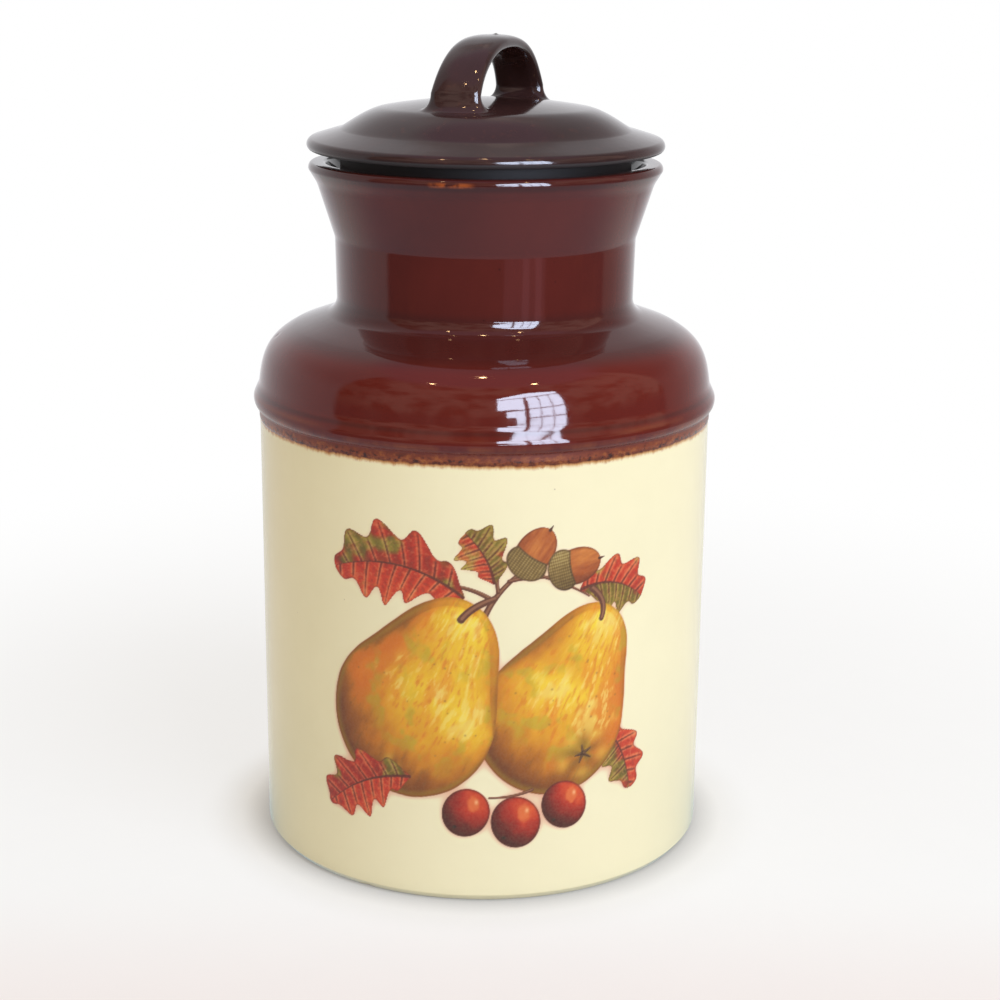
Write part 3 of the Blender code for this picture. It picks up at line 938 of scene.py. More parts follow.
def foot_rings(ring):
    """Rings that spread in a hollow curve from an end of the strap onto the lid, the last one on its face."""
    following = np.roll(ring, -1, 0)
    before = np.roll(ring, 1, 0)
    along = (following - before)[:, :2]
    outward = np.column_stack((along[:, 1], -along[:, 0]))
    outward /= np.linalg.norm(outward, axis=1)[:, None]
    middle = ring[:, :2].mean(0)
    if ((ring[:, :2] - middle) * outward).sum() < 0:
        outward = -outward
    over = ring[:, 2] - cover_height(np.hypot(ring[:, 0], ring[:, 1]))
    rings = []
    for i in range(1, FOOT_STEPS + 1):
        turn = math.pi / 2 * i / FOOT_STEPS
        place = ring[:, :2] + outward * (FOOT_SPREAD * (1 - math.cos(turn)))
        height = cover_height(np.hypot(place[:, 0], place[:, 1])) + over * (1 - math.sin(turn))
        rings.append(np.column_stack((place, height)))
    return rings


def strap_rings():
    """All rings of the strap, from the one that lies on the lid in front to the one behind."""
    angles = section_angles()
    start = 0.0
    while strap_path(start).z - float(cover_height(STRAP_SPAN)) < FOOT_RISE:
        start += 0.001
    shares = [start + (1 - 2 * start) * i / STRAP_STEPS for i in range(STRAP_STEPS + 1)]
    turn = math.pi / 2 - HANDLE_TURN
    across = np.array([[math.cos(turn), math.sin(turn), 0], [-math.sin(turn), math.cos(turn), 0], [0, 0, 1]])
    rings = [strap_ring(share, angles) @ across + np.array((HANDLE_OFFSET, 0, 0)) for share in shares]
    return foot_rings(rings[0])[::-1] + rings + foot_rings(rings[-1])


def inside_loop(points, loop):
    """Which 2-D points lie inside a closed loop."""
    x, y = points[:, 0][:, None], points[:, 1][:, None]
    ax, ay = loop[:, 0], loop[:, 1]
    bx, by = np.roll(ax, -1), np.roll(ay, -1)
    crosses = ((ay > y) != (by > y)) & (x < (bx - ax) * (y - ay) / (by - ay + 1e-12) + ax)
    return crosses.sum(1) % 2 == 1


def crown_faces(feet, segments):
    """Points and triangles of the lid's crown, a disc on the dome with a hole for each foot of the strap."""
    angles = 2 * np.pi * np.arange(segments) / segments
    border = CROWN_RADIUS * np.column_stack((np.cos(angles), np.sin(angles)))
    loops = [border, *[foot[:, :2] for foot in feet]]
    filling = [np.zeros((1, 2))]
    rings = int(CROWN_RADIUS / CROWN_SPACING)
    for i in range(1, rings):
        radius = CROWN_RADIUS * i / rings
        count = max(6, round(2 * math.pi * radius / CROWN_SPACING))
        turn = 2 * np.pi * (np.arange(count) + 0.5 * (i % 2)) / count
        filling.append(radius * np.column_stack((np.cos(turn), np.sin(turn))))
    filling = np.concatenate(filling)
    keep = np.ones(len(filling), bool)
    for loop in loops[1:]:
        nearest = np.linalg.norm(filling[:, None] - loop[None], axis=2).min(1)
        keep &= ~inside_loop(filling, loop) & (nearest > 0.5 * CROWN_SPACING)
    flat = np.concatenate([*loops, filling[keep]])
    edges = []
    first = 0
    for loop in loops:
        edges.extend((first + i, first + (i + 1) % len(loop)) for i in range(len(loop)))
        first += len(loop)
    result = delaunay_2d_cdt([Vector(p) for p in flat * 1000], edges, [], 1, 1e-6)
    source = [origins[0] for origins in result[3]]
    triangles = np.array([[source[i] for i in face] for face in result[2]])
    centres = flat[triangles].mean(1)
    solid = np.ones(len(triangles), bool)
    for loop in loops[1:]:
        solid &= ~inside_loop(centres, loop)
    height = cover_height(np.hypot(flat[:, 0], flat[:, 1]))
    return np.column_stack((flat, height)), triangles[solid]


def lid_mesh(glaze, segments, amount):
    """The lid as one closed mesh: turned cover and plug, crown, and strap luted on."""
    mesh = turned("lid_shell", lid_stretches(), (glaze,) * 4, segments)
    rings = strap_rings()
    crown, triangles = crown_faces([rings[0], rings[-1]], segments)
    lift = Vector((0, 0, RIM_HEIGHT))
    mesh.materials.clear()
    mesh.materials.append(glaze)
    shape = bmesh.new()
    shape.from_mesh(mesh)
    points = [shape.verts.new(Vector(p) + lift) for p in crown]
    for triangle in triangles:
        shape.faces.new([points[i] for i in triangle])
    loops = [[shape.verts.new(Vector(p) + lift) for p in ring] for ring in rings]
    for loop, following in zip(loops, loops[1:]):
        for j in range(STRAP_SIDES):
            k = (j + 1) % STRAP_SIDES
            shape.faces.new((loop[j], loop[k], following[k], following[j]))
    bmesh.ops.remove_doubles(shape, verts=shape.verts, dist=MERGE_DISTANCE)
    bmesh.ops.recalc_face_normals(shape, faces=shape.faces)
    for face in shape.faces:
        face.smooth = True
        face.material_index = 0
    shape.to_mesh(mesh)
    shape.free()
    moved = warped(uneven(coordinates(mesh), amount))
    set_coordinates(mesh, with_pimple(moved))
    return mesh


def warped(points):
    """The lid's points with its rim warped a little down in front and up behind."""
    radius = np.hypot(points[:, 0], points[:, 1])
    share = eased(radius, WARP_START, RIM_RADIUS - RIM_CROWN) * eased(points[:, 2] - RIM_HEIGHT, -0.004, 0)
    points[:, 2] += RIM_WARP * points[:, 1] / RIM_RADIUS * share
    return points


# The drip of glaze on the strap's crown: its place beside the highest point, its half width and its height
PIMPLE_ASIDE = (0.0012, -0.0006)
PIMPLE_REACH = 0.0008
PIMPLE_HEIGHT = 0.0004


def with_pimple(points):
    """The lid's points with the little drip of glaze on the strap's crown."""
    top = points[points[:, 2].argmax()]
    away = np.hypot(*(points[:, :2] - top[:2] - PIMPLE_ASIDE).T) / PIMPLE_REACH
    high = points[:, 2] > top[2] - 0.0020
    points[:, 2] += np.where(high, PIMPLE_HEIGHT * np.exp(-(away**2) * 1.6), 0)
    return points


class CANISTER_OT_stage(bpy.types.Operator):
    """Make the floor, the light, the surroundings and the camera"""

    bl_idname = "canister.stage"
    bl_label = "Stage"

    def execute(self, context):
        settings = context.scene
        make_camera()
        make_floor(settings.canister_sizes, settings.canister_colours)
        make_world()
        make_key_light()
        make_window()
        make_ceiling_lamps()
        settings.view_settings.view_transform = "Standard"
        return {"FINISHED"}


class CANISTER_OT_jar(bpy.types.Operator):
    """Make the glazed jar"""

    bl_idname = "canister.jar"
    bl_label = "Jar"

    def execute(self, context):
        sizes, colours = context.scene.canister_sizes, context.scene.canister_colours
        materials = (
            fired("cream_glaze", cream_layer, colours, CREAM_RELIEF),
            fired("glaze_line", line_layer, colours, BROWN_RELIEF),
            fired("brown_glaze", brown_layer, colours, BROWN_RELIEF),
            fired("bare_clay", clay_layer, colours, CLAY_RELIEF),
        )
        mesh = turned("jar_shell", jar_stretches(), materials, sizes.segments)
        points = uneven(coordinates(mesh), sizes.unevenness)
        for centre, reach, depth in CHIPS:
            points = dented(points, centre, reach, depth)
        set_coordinates(mesh, points)
        closed_outwards(mesh)
        jar = piece("jar_shell", mesh, "jar")
        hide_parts("jar")
        refuse_outside(jar, "jar")
        return {"FINISHED"}


class CANISTER_OT_lid(bpy.types.Operator):
    """Make the lid with its strap handle"""

    bl_idname = "canister.lid"
    bl_label = "Lid"

    def execute(self, context):
        sizes, colours = context.scene.canister_sizes, context.scene.canister_colours
        glaze = fired("lid_glaze", lid_layer, colours, LID_RELIEF)
        mesh = lid_mesh(glaze, sizes.segments, sizes.unevenness * LID_EVENNESS)
        closed_outwards(mesh)
        lid = piece("lid_shell", mesh, "lid")
        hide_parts("lid")
        refuse_outside(lid, "lid")
        return {"FINISHED"}


def eased(value, low, high):
    """0 below low, 1 above high, and a smooth step between them."""
    share = np.clip((value - low) / (high - low), 0, 1)
    return share * share * (3 - 2 * share)


def cloud(u, v, seed, octaves=3):
    """Soft random values from 0 to 1 whose blots are about one unit across."""
    total = np.zeros_like(u)
    weight = 0.5
    for octave in range(octaves):
        lattice = np.random.default_rng(seed + 17 * octave).random((64, 64))
        x, y = u * 2**octave + 7.3 * seed, v * 2**octave - 3.1 * seed
        i, j = np.floor(x).astype(int), np.floor(y).astype(int)
        fx, fy = eased(x - i, 0, 1), eased(y - j, 0, 1)
        i, j, i1, j1 = i % 64, j % 64, (i + 1) % 64, (j + 1) % 64
        low = lattice[i, j] * (1 - fx) + lattice[i1, j] * fx
        high = lattice[i, j1] * (1 - fx) + lattice[i1, j1] * fx
        total += weight * (low * (1 - fy) + high * fy)
        weight /= 2
    return total / (1 - 0.5**octaves)


def toned(tones, value):
    """Colours read off a scale of (value, red, green, blue) tones."""
    steps, *parts = zip(*tones)
    return np.stack([np.interp(value, steps, np.array(part) / 255) for part in parts], -1)


class Painting:
    """A sheet of colours and of how far each spot is covered, painted from the back to the front."""

    def __init__(self, cell, half_width, half_height):
        self.cell = cell
        self.across = np.arange(-half_width, half_width + cell, cell)
        self.up = np.arange(-half_height, half_height + cell, cell)
        self.u, self.v = np.meshgrid(self.across, self.up)
        self.colour = np.zeros((*self.u.shape, 3))
        self.cover = np.zeros(self.u.shape)

    def lay(self, colour, mask):
        """Paints a colour, or a field of colours, where the mask says."""
        whole = mask + self.cover * (1 - mask)
        share = (mask / np.maximum(whole, 1e-6))[..., None]
        self.colour = colour * share + self.colour * (1 - share)
        self.cover = whole

    def form(self, distance, tones, light):
        """Paints a lit form from the signed distance to its outline, and returns its mask."""
        mask = eased(-distance, -SOFT_EDGE, SOFT_EDGE)
        self.lay(toned(tones, light), mask)
        return mask

    def tint(self, mask, *tints):
        """Changes the colour of what is already painted by (colour, amount) tints, one after another."""
        mask = mask * (self.cover > 0)
        for colour, amount in tints:
            share = (mask * amount)[..., None]
            self.colour = np.array(colour) / 255 * share + self.colour * (1 - share)

    def seen_from(self, centre, lean):
        """The sheet's points from a centre, first as they are and then turned by a lean."""
        u, v = self.u - centre[0], self.v - centre[1]
        c, s = math.cos(lean), math.sin(lean)
        return u, v, u * c + v * s, -u * s + v * c

    def nearest(self, points):
        """Each spot's distance to a line through points, its share along the line and its side of it."""
        away = np.full(self.u.shape, 1e9)
        share = np.zeros(self.u.shape)
        side = np.zeros(self.u.shape)
        for i, ((ax, ay), (bx, by)) in enumerate(zip(points, points[1:])):
            dx, dy = bx - ax, by - ay
            u, v = self.u - ax, self.v - ay
            t = np.clip((u * dx + v * dy) / (dx * dx + dy * dy), 0, 1)
            gone = np.hypot(u - t * dx, v - t * dy)
            nearer = gone < away
            away = np.where(nearer, gone, away)
            share = np.where(nearer, (i + t) / (len(points) - 1), share)
            side = np.where(nearer, np.sign(dx * v - dy * u), side)
        return away, share, side


def blot(u, v, middle, wide, high):
    """1 in the middle of a soft oval blot, fading to 0."""
    return np.exp(-(((u - middle[0]) / wide) ** 2 + ((v - middle[1]) / high) ** 2))


# The print's light, the soft edge of its forms in millimetres, their tones from dark to light, and the dots
LIGHT = np.array((0.46, 0.56, 0.69))
SOFT_EDGE = 0.14
GOLD = (
    (-0.25, 112, 54, 16),
    (0.10, 156, 86, 18),
    (0.34, 200, 122, 20),
    (0.56, 224, 156, 26),
    (0.76, 238, 188, 34),
    (0.92, 247, 214, 56),
    (1.05, 251, 232, 116),
)
RED_LEAF = (
    (0.0, 112, 24, 16),
    (0.3, 162, 32, 20),
    (0.55, 198, 46, 24),
    (0.8, 216, 72, 36),
    (1.0, 230, 122, 72),
)
OLIVE_LEAF = (
    (0.0, 76, 62, 20),
    (0.3, 112, 94, 28),
    (0.55, 146, 128, 40),
    (0.8, 178, 164, 64),
    (1.0, 212, 202, 116),
)
HIP_RED = (
    (-0.2, 72, 14, 12),
    (0.25, 106, 18, 14),
    (0.55, 150, 26, 16),
    (0.8, 186, 42, 20),
    (1.05, 220, 82, 34),
)
NUT_BROWN = (
    (0.0, 84, 34, 18),
    (0.3, 124, 52, 22),
    (0.6, 170, 82, 32),
    (0.85, 206, 122, 52),
    (1.05, 236, 178, 100),
)
CAP_BROWN = (
    (0.0, 64, 44, 24),
    (0.35, 104, 78, 38),
    (0.6, 142, 114, 60),
    (0.9, 190, 166, 104),
)
FRECKLES = 70


def pear(painting, base, base_radius, neck, neck_radius, waist, seed, blush_side):
    """A golden pear from its round base to its neck."""
    u, v = painting.u, painting.v
    to_base = np.hypot(u - base[0], v - base[1]) - base_radius
    to_neck = np.hypot(u - neck[0], v - neck[1]) - neck_radius
    share = np.clip(0.5 + 0.5 * (to_neck - to_base) / waist, 0, 1)
    distance = to_neck * (1 - share) + to_base * share - waist * share * (1 - share)
    distance += 0.55 * (cloud(u / 9, v / 9, seed) - 0.5)
    lean_u = (u - neck[0]) / neck_radius * (1 - share) + (u - base[0]) / base_radius * share
    lean_v = (v - neck[1]) / neck_radius * (1 - share) + (v - base[1]) / base_radius * share
    lean = np.maximum(np.hypot(lean_u, lean_v), 1e-6)
    rounder = np.clip(lean, 0, 1) ** 1.25 / lean
    nx, ny = lean_u * rounder, lean_v * rounder
    nz = np.sqrt(np.clip(1 - nx**2 - ny**2, 0, 1))
    _, _, along, aside = painting.seen_from(base, math.atan2(neck[1] - base[1], neck[0] - base[0]))
    turn = aside / np.maximum(neck_radius * (1 - share) + base_radius * share + 4, 1)
    strokes = cloud(turn * 9, along / 9, seed + 1, 4)
    patches = cloud(u / 7.5, v / 7.5, seed + 2)
    dabs = cloud(turn * 16, along / 4.5, seed + 3)
    wisps = cloud(turn * 26, along / 3.2, seed + 11, 4)
    light = nx * LIGHT[0] + ny * LIGHT[1] + nz * LIGHT[2]
    light += 0.30 * (patches - 0.5) + 0.26 * (strokes - 0.5) + 0.10 * (dabs - 0.5)
    inside = painting.form(distance, GOLD, light) * (distance < 0.1)
    blush = eased(blush_side * aside / base_radius + 0.9 * (patches - 0.5), 0.05, 0.75)
    glow = eased(strokes * 0.6 + dabs * 0.5, 0.50, 0.80) * eased(light, 0.40, 0.70)
    lit = eased(dabs * 0.5 + patches * 0.6, 0.60, 0.78) * eased(light, 0.62, 0.92)
    middling = eased(light, 0.2, 0.5) * eased(-light, -0.85, -0.6)
    lime = eased(cloud(u / 5, v / 5, seed + 5), 0.52, 0.70) * middling
    edge = eased(distance, -1.0, -0.1) * (0.25 + 0.5 * eased(-light, -0.5, 0.1))
    painting.tint(
        inside,
        ((214, 96, 22), blush * 0.62 * eased(light, 0.1, 0.5)),
        ((226, 122, 22), glow * 0.60),
        ((214, 108, 20), eased(wisps, 0.58, 0.78) * eased(light, 0.2, 0.6) * 0.45),
        ((248, 226, 130), eased(-wisps, -0.44, -0.26) * eased(light, 0.55, 0.85) * 0.60),
        ((112, 74, 26), eased(-wisps, -0.42, -0.22) * eased(-light, -0.45, -0.15) * 0.35),
        ((244, 218, 104), lit * 0.7),
        ((178, 166, 40), lime * 0.50),
        ((166, 140, 36), eased(distance, -2.6, -0.5) * eased(-light, -0.42, -0.05) * 0.50),
        ((136, 70, 20), edge),
    )
    freckles(painting, inside * eased(light, 0.2, 0.6), base, base_radius * 1.5, seed + 8)


def freckles(painting, mask, centre, reach, seed):
    """Small brown dots on a fruit's skin."""
    draw = np.random.default_rng(seed)
    for _ in range(FRECKLES):
        angle, away = draw.random() * 2 * math.pi, reach * math.sqrt(draw.random())
        middle = centre[0] + away * math.cos(angle), centre[1] + away * math.sin(angle)
        size = 0.16 + 0.16 * draw.random()
        painting.tint(mask, ((150, 92, 34), blot(painting.u, painting.v, middle, size, size) * 0.6))


def stroke(painting, points, start_width, end_width, colour, strength=1.0):
    """A tapering line through points."""
    away, share, _ = painting.nearest(points)
    width = start_width + (end_width - start_width) * share
    painting.lay(np.array(colour) / 255, strength * eased(width / 2 - away, -0.14, 0.12))


def curve(start, bend, end, count=24):
    """Points on a quadratic curve."""
    steps = np.linspace(0, 1, count)[:, None]
    start, bend, end = (np.array(p, float) for p in (start, bend, end))
    return (1 - steps) ** 2 * start + 2 * steps * (1 - steps) * bend + steps**2 * end


def twig(painting, start, bend, end, start_width, end_width):
    """A woody twig with a lit upper side."""
    points = curve(start, bend, end)
    upper = points + np.array((0.12, 0.14)) * start_width
    stroke(painting, points, start_width, end_width, (96, 50, 38))
    stroke(painting, upper, start_width * 0.4, end_width * 0.35, (158, 104, 74), 0.8)


def leaf(painting, start, bend, tip, half_width, lobes, depth, red_share, seed):
    """An oak leaf on a curved midrib, with lobes, veins and red and olive patches."""
    u, v = painting.u, painting.v
    middle = curve(start, bend, tip, 70)
    away, share, side = painting.nearest(middle)
    length = np.hypot(*np.diff(middle, axis=0).T).sum()
    slanted = np.clip(share - 0.30 * away / length, 0, 1)
    vein = slanted * lobes + 0.10 * side
    swell = np.sin(np.pi * slanted**0.9) ** 0.75 * (0.72 + 0.45 * slanted)
    ragged = 0.25 * (cloud(u / 1.6, v / 1.6, seed) - 0.5)
    within = half_width * swell * (1 - depth * np.cos(2 * np.pi * vein)) + ragged - away
    mask = eased(within, -0.12, 0.16) * (share > 0.004) * (share < 0.998)
    grain = cloud(slanted * lobes * 6, away * 0.55 + 9 * side, seed + 1)
    tone = 0.50 + 0.12 * side + 0.13 * np.cos(4 * np.pi * vein) + 0.42 * (grain - 0.5)
    tone += 0.14 * eased(away / half_width, 0.1, 0.9)
    patch = cloud(u / 6.5, v / 6.5, seed + 2) + 0.16 * side
    red = eased(patch, 0.62 - red_share * 0.5, 0.80 - red_share * 0.5)[..., None]
    painting.lay(toned(RED_LEAF, tone) * red + toned(OLIVE_LEAF, tone) * (1 - red), mask)
    line = np.abs(vein * 2 - np.round(vein * 2)) * length / lobes / 2
    reach = eased(within, 0.1, 1.4)
    thin = 0.34 - 0.22 * np.clip(away / half_width, 0, 1)
    small = cloud(slanted * lobes * 9 + away * 0.9, away * 1.4, seed + 5, 2)
    painting.tint(
        mask,
        ((86, 32, 26), reach * 0.72 * eased(thin - line * 0.9, -0.10, 0.16)),
        ((230, 168, 116), reach * 0.30 * eased(0.26 - np.abs(line - 0.55), -0.14, 0.14)),
        ((120, 42, 30), eased(small, 0.60, 0.74) * 0.30),
        ((226, 150, 96), eased(-small, -0.38, -0.24) * 0.30),
        ((92, 34, 26), eased(0.42 * (1.1 - share) - away, -0.10, 0.10) * 0.9),
        ((96, 34, 24), eased(0.5 - within, 0.0, 0.45) * 0.6),
    )


def hip(painting, centre, radius, seed, lean):
    """A small dark red fruit with a warm reflection."""
    u, v, x, y = painting.seen_from(centre, lean)
    distance = np.hypot(x * 1.06, y * 0.96) - radius
    gy, gx = np.gradient(distance, painting.cell)
    out = 1 - np.clip(-distance / radius, 0, 1)
    light = (gx * LIGHT[0] + gy * LIGHT[1]) / np.maximum(np.hypot(gx, gy), 1e-6) * out
    light += np.sqrt(np.clip(1 - out**2, 0, 1)) * LIGHT[2] + 0.3 * (cloud(u / 2.4, v / 2.4, seed) - 0.5)
    mask = painting.form(distance, HIP_RED, light)
    shine = blot(u, v, (0.30 * radius, 0.36 * radius), 0.30 * radius, 0.42 * radius)
    shine += 0.3 * (cloud(u / 1.3, v / 1.3, seed + 3) - 0.5)
    painting.tint(
        mask,
        ((226, 112, 54), eased(shine, 0.35, 0.75) * 0.85),
        ((72, 22, 20), eased(distance, -0.7, -0.1) * 0.55),
        ((250, 196, 140), blot(u, v, (0.42 * radius, 0.46 * radius), 0.5, 0.7) * 0.8),
        ((44, 20, 16), eased(blot(u, v, (-0.45 * radius, -0.62 * radius), 0.7, 0.55), 0.3, 0.7) * 0.9),
    )


def acorn(painting, centre, length, width, lean, seed):
    """An acorn with its point along the lean and a scaly cap at the other end."""
    u, v, along, aside = painting.seen_from(centre, lean)
    c, s = math.cos(lean), math.sin(lean)
    distance = (np.abs(aside) - width * np.clip(1 - (along / length) ** 2, 0, 1) ** 0.5) * 0.8
    distance = np.where(np.abs(along) > length, np.hypot(np.abs(along) - length, aside), distance)
    nx = aside / width
    facing = nx * (c * LIGHT[1] - s * LIGHT[0])
    light = 0.35 + 0.55 * facing + 0.35 * np.sqrt(np.clip(1 - nx**2, 0, 1))
    light += 0.35 * (cloud(aside * 1.2, along / 4, seed) - 0.5)
    mask = painting.form(distance, NUT_BROWN, light)
    painting.tint(mask, ((80, 32, 20), eased(distance, -0.6, -0.1) * 0.5))
    tip = [(centre[0] + c * (length + on), centre[1] + s * (length + on)) for on in (-0.3, 0.6, 1.3)]
    stroke(painting, curve(*tip, 4), 0.9, 0.2, (78, 36, 22))
    cap = (np.hypot((along + 0.52 * length) / (0.62 * length), aside / (1.14 * width)) - 1) * width * 0.8
    cap = np.maximum(cap, (along + (0.22 - 0.10 * nx**2) * length) * 0.9)
    weave = np.cos((along + aside * 0.7) * 5.2) * np.cos((along - aside * 0.7) * 5.2)
    tone = 0.50 + 0.45 * facing + 0.26 * weave + 0.2 * (cloud(u, v, seed + 4) - 0.5)
    mask = painting.form(cap, CAP_BROWN, tone)
    painting.tint(mask, ((60, 36, 22), eased(cap, -0.6, -0.1) * 0.6))


def calyx(painting, centre, reach, lean, squash, seed):
    """The dry star at a fruit's end, in its dimple."""
    _, _, x, y = painting.seen_from(centre, lean)
    away = np.hypot(x, y / squash)
    crease = 0.5 + 0.5 * np.cos(5 * np.arctan2(y / squash, x) + 0.6)
    dip = np.exp(-((away / (2.2 * reach)) ** 2))
    bright = np.exp(-(((away - 2.5 * reach) / (0.8 * reach)) ** 2)) * (1 - crease)
    painting.tint(1, ((116, 84, 30), dip * (0.35 + 0.45 * crease)), ((236, 206, 84), bright * 0.45))
    leaned = np.array(((math.cos(lean), math.sin(lean)), (-math.sin(lean), math.cos(lean))))
    draw = np.random.default_rng(seed)
    for i in range(5):
        turn = 2 * math.pi * (i + 0.3 * draw.random()) / 5
        far = reach * (0.9 + 0.5 * draw.random())
        end = centre + np.array((math.cos(turn) * far, math.sin(turn) * far * squash)) @ leaned
        bend = (centre + end) / 2 + 0.5 * (np.array((draw.random(), draw.random())) - 0.5)
        points = curve(centre, bend, end, 8)
        stroke(painting, points, 1.1, 0.35, (66, 38, 26), 0.95)
        stroke(painting, points + np.array((0.15, 0.2)), 0.4, 0.12, (136, 92, 52), 0.7)


def blurred(field, cells):
    """A field softened along both of its directions."""
    steps = np.arange(-3 * cells, 3 * cells + 1)
    kernel = np.exp(-0.5 * (steps / cells) ** 2)
    kernel /= kernel.sum()
    for axis in (0, 1):
        field = np.apply_along_axis(np.convolve, axis, field, kernel, "same")
    return field


def blushed(painting):
    """A soft rosy shadow laid under all that is painted."""
    shape = eased(painting.cover, 0.3, 0.9)
    near = blurred(shape, round(0.8 / painting.cell))
    far = blurred(shape, round(2.6 / painting.cell))
    moved = np.roll(far, (-round(1.2 / painting.cell), -round(0.8 / painting.cell)), (0, 1))
    low = eased(-painting.v, -30, 10)
    amount = np.clip(0.62 * moved * (0.45 + 0.55 * low) + 0.34 * near, 0, 0.85)
    amount *= eased(moved + near, 0.25, 0.9)
    whole = painting.cover + amount * (1 - painting.cover)
    share = (painting.cover / np.maximum(whole, 1e-6))[..., None]
    painting.colour = painting.colour * share + np.array((228, 158, 132)) / 255 * (1 - share)
    painting.cover = whole


def painted_print(cell):
    """The whole print: two golden pears, oak leaves, acorns and small red fruit."""
    p = Painting(cell, 51.0, 48.0)
    twig(p, (0, 20), (3, 28), (11, 34), 1.8, 1.0)
    twig(p, (2, 26), (-6, 31), (-15, 29), 1.3, 0.7)
    twig(p, (7, 31), (16, 33), (23, 30), 1.1, 0.6)
    twig(p, (4, 28), (3, 34), (5, 39), 1.1, 0.6)
    twig(p, (16, 32), (24, 29), (30, 25), 0.9, 0.5)
    leaf(p, (-5, 26), (-22, 40), (-44, 31), 10.4, 4.6, 0.24, 0.78, 31)
    leaf(p, (3, 30), (2, 38), (-5, 44.5), 6.8, 3.6, 0.24, 0.30, 47)
    leaf(p, (27, 27), (38, 31), (48, 22), 7.6, 3.8, 0.24, 0.45, 71)
    leaf(p, (35, -14), (43, -20), (45.5, -35), 6.6, 3.6, 0.24, 0.55, 53)
    pear(p, (20, -10), 22.0, (32, 13), 9.0, 20, 5, -1)
    twig(p, (34, 18), (36, 23), (31, 27), 1.5, 2.1)
    calyx(p, (29, -21), 2.7, 0.5, 0.80, 3)
    pear(p, (-20.5, -9), 24.0, (-8, 15.5), 9.6, 22, 2, 1)
    twig(p, (-6, 20), (-3, 24), (3, 26), 2.1, 1.8)
    calyx(p, (-29, -27.5), 2.4, 0.9, 0.55, 8)
    leaf(p, (-20, -27), (-34, -27), (-47, -40), 8.6, 4.2, 0.25, 0.90, 61)
    acorn(p, (14, 39), 7.4, 5.3, 0.95, 12)
    acorn(p, (26, 34), 7.4, 5.2, 0.20, 15)
    twig(p, (14, -30), (9, -32), (2, -32), 0.9, 0.6)
    hip(p, (23.5, -35.5), 7.0, 21, 0.5)
    hip(p, (-4.5, -36.5), 7.0, 23, -0.4)
    hip(p, (9.5, -39.5), 7.4, 27, 0.2)
    blushed(p)
    return p


def print_mesh(sizes, glaze):
    """The print as a sheet of small faces that lies on the wall, with its paint in an attribute."""
    painting = painted_print(sizes.print_cell * 1000)
    cover = np.clip(painting.cover, 0, 1)
    columns = cover.shape[1]
    radius = BODY_RADIUS + PRINT_LIFT
    turn, height = np.meshgrid(painting.across / 1000 / BODY_RADIUS, painting.up / 1000 + sizes.print_height)
    points = np.stack((radius * np.sin(turn), -radius * np.cos(turn), height), -1).reshape(-1, 3)
    points = uneven(points, sizes.unevenness)
    painted = cover > PRINT_LEAST
    used = painted[:-1, :-1] | painted[1:, :-1] | painted[:-1, 1:] | painted[1:, 1:]
    j, i = np.nonzero(used)
    first = j * columns + i
    faces = np.column_stack((first, first + 1, first + columns + 1, first + columns))
    kept, index = np.unique(faces, return_inverse=True)
    mesh = bpy.data.meshes.new("fruit_print")
    mesh.from_pydata(points[kept].tolist(), [], index.reshape(-1, 4).tolist())
    paint = mesh.attributes.new("paint", "FLOAT_COLOR", "POINT")
    light = linear(np.clip(painting.colour.reshape(-1, 3)[kept], 0, 1))
    values = np.column_stack((light, cover.reshape(-1)[kept]))
    paint.data.foreach_set("color", values.astype(np.float32).ravel())
    mesh.shade_smooth()
    mesh.materials.append(glaze)
    return mesh


class CANISTER_OT_print(bpy.types.Operator):
    """Make the fruit print on the front of the jar"""

    bl_idname = "canister.print"
    bl_label = "Print"

    def execute(self, context):
        sizes, colours = context.scene.canister_sizes, context.scene.canister_colours
        mesh = print_mesh(sizes, fired("print", print_layer, colours, CREAM_RELIEF))
        piece("fruit_print", mesh, "jar")
        return {"FINISHED"}


class CANISTER_PT_panel(bpy.types.Panel):
    """Lists the steps that build the canister"""

    bl_label = "Canister"
    bl_idname = "CANISTER_PT_panel"
    bl_space_type = "VIEW_3D"
    bl_region_type = "UI"
    bl_category = "Canister"

    def draw(self, context):
        for group in (context.scene.canister_sizes, context.scene.canister_colours):
            for name in group.bl_rna.properties.keys():
                if name not in ("rna_type", "name"):
                    self.layout.prop(group, name)
        for operator in STEPS:
            self.layout.operator(operator.bl_idname)


# Knocks in the jar's foot and shoulder, as (centre, reach, depth)
CHIPS = (
    ((-0.0330, -0.0570, 0.0004), (0.0028, 0.0028, 0.0011), 0.0009),
    ((-0.0300, -0.0588, 0.0002), (0.0016, 0.0016, 0.0008), 0.0006),
    ((-0.0605, -0.0060, 0.1502), (0.0014, 0.0014, 0.0014), 0.0005),
)

# The camera's place and aim
CAMERA_PLACE = (0.0, -0.5789, 0.2587)
CAMERA_PITCH = math.radians(15.40)
CAMERA_YAW = math.radians(-0.48)
CAMERA_ROLL = math.radians(0.49)
CAMERA_LENS = 72
CAMERA_SENSOR = 36


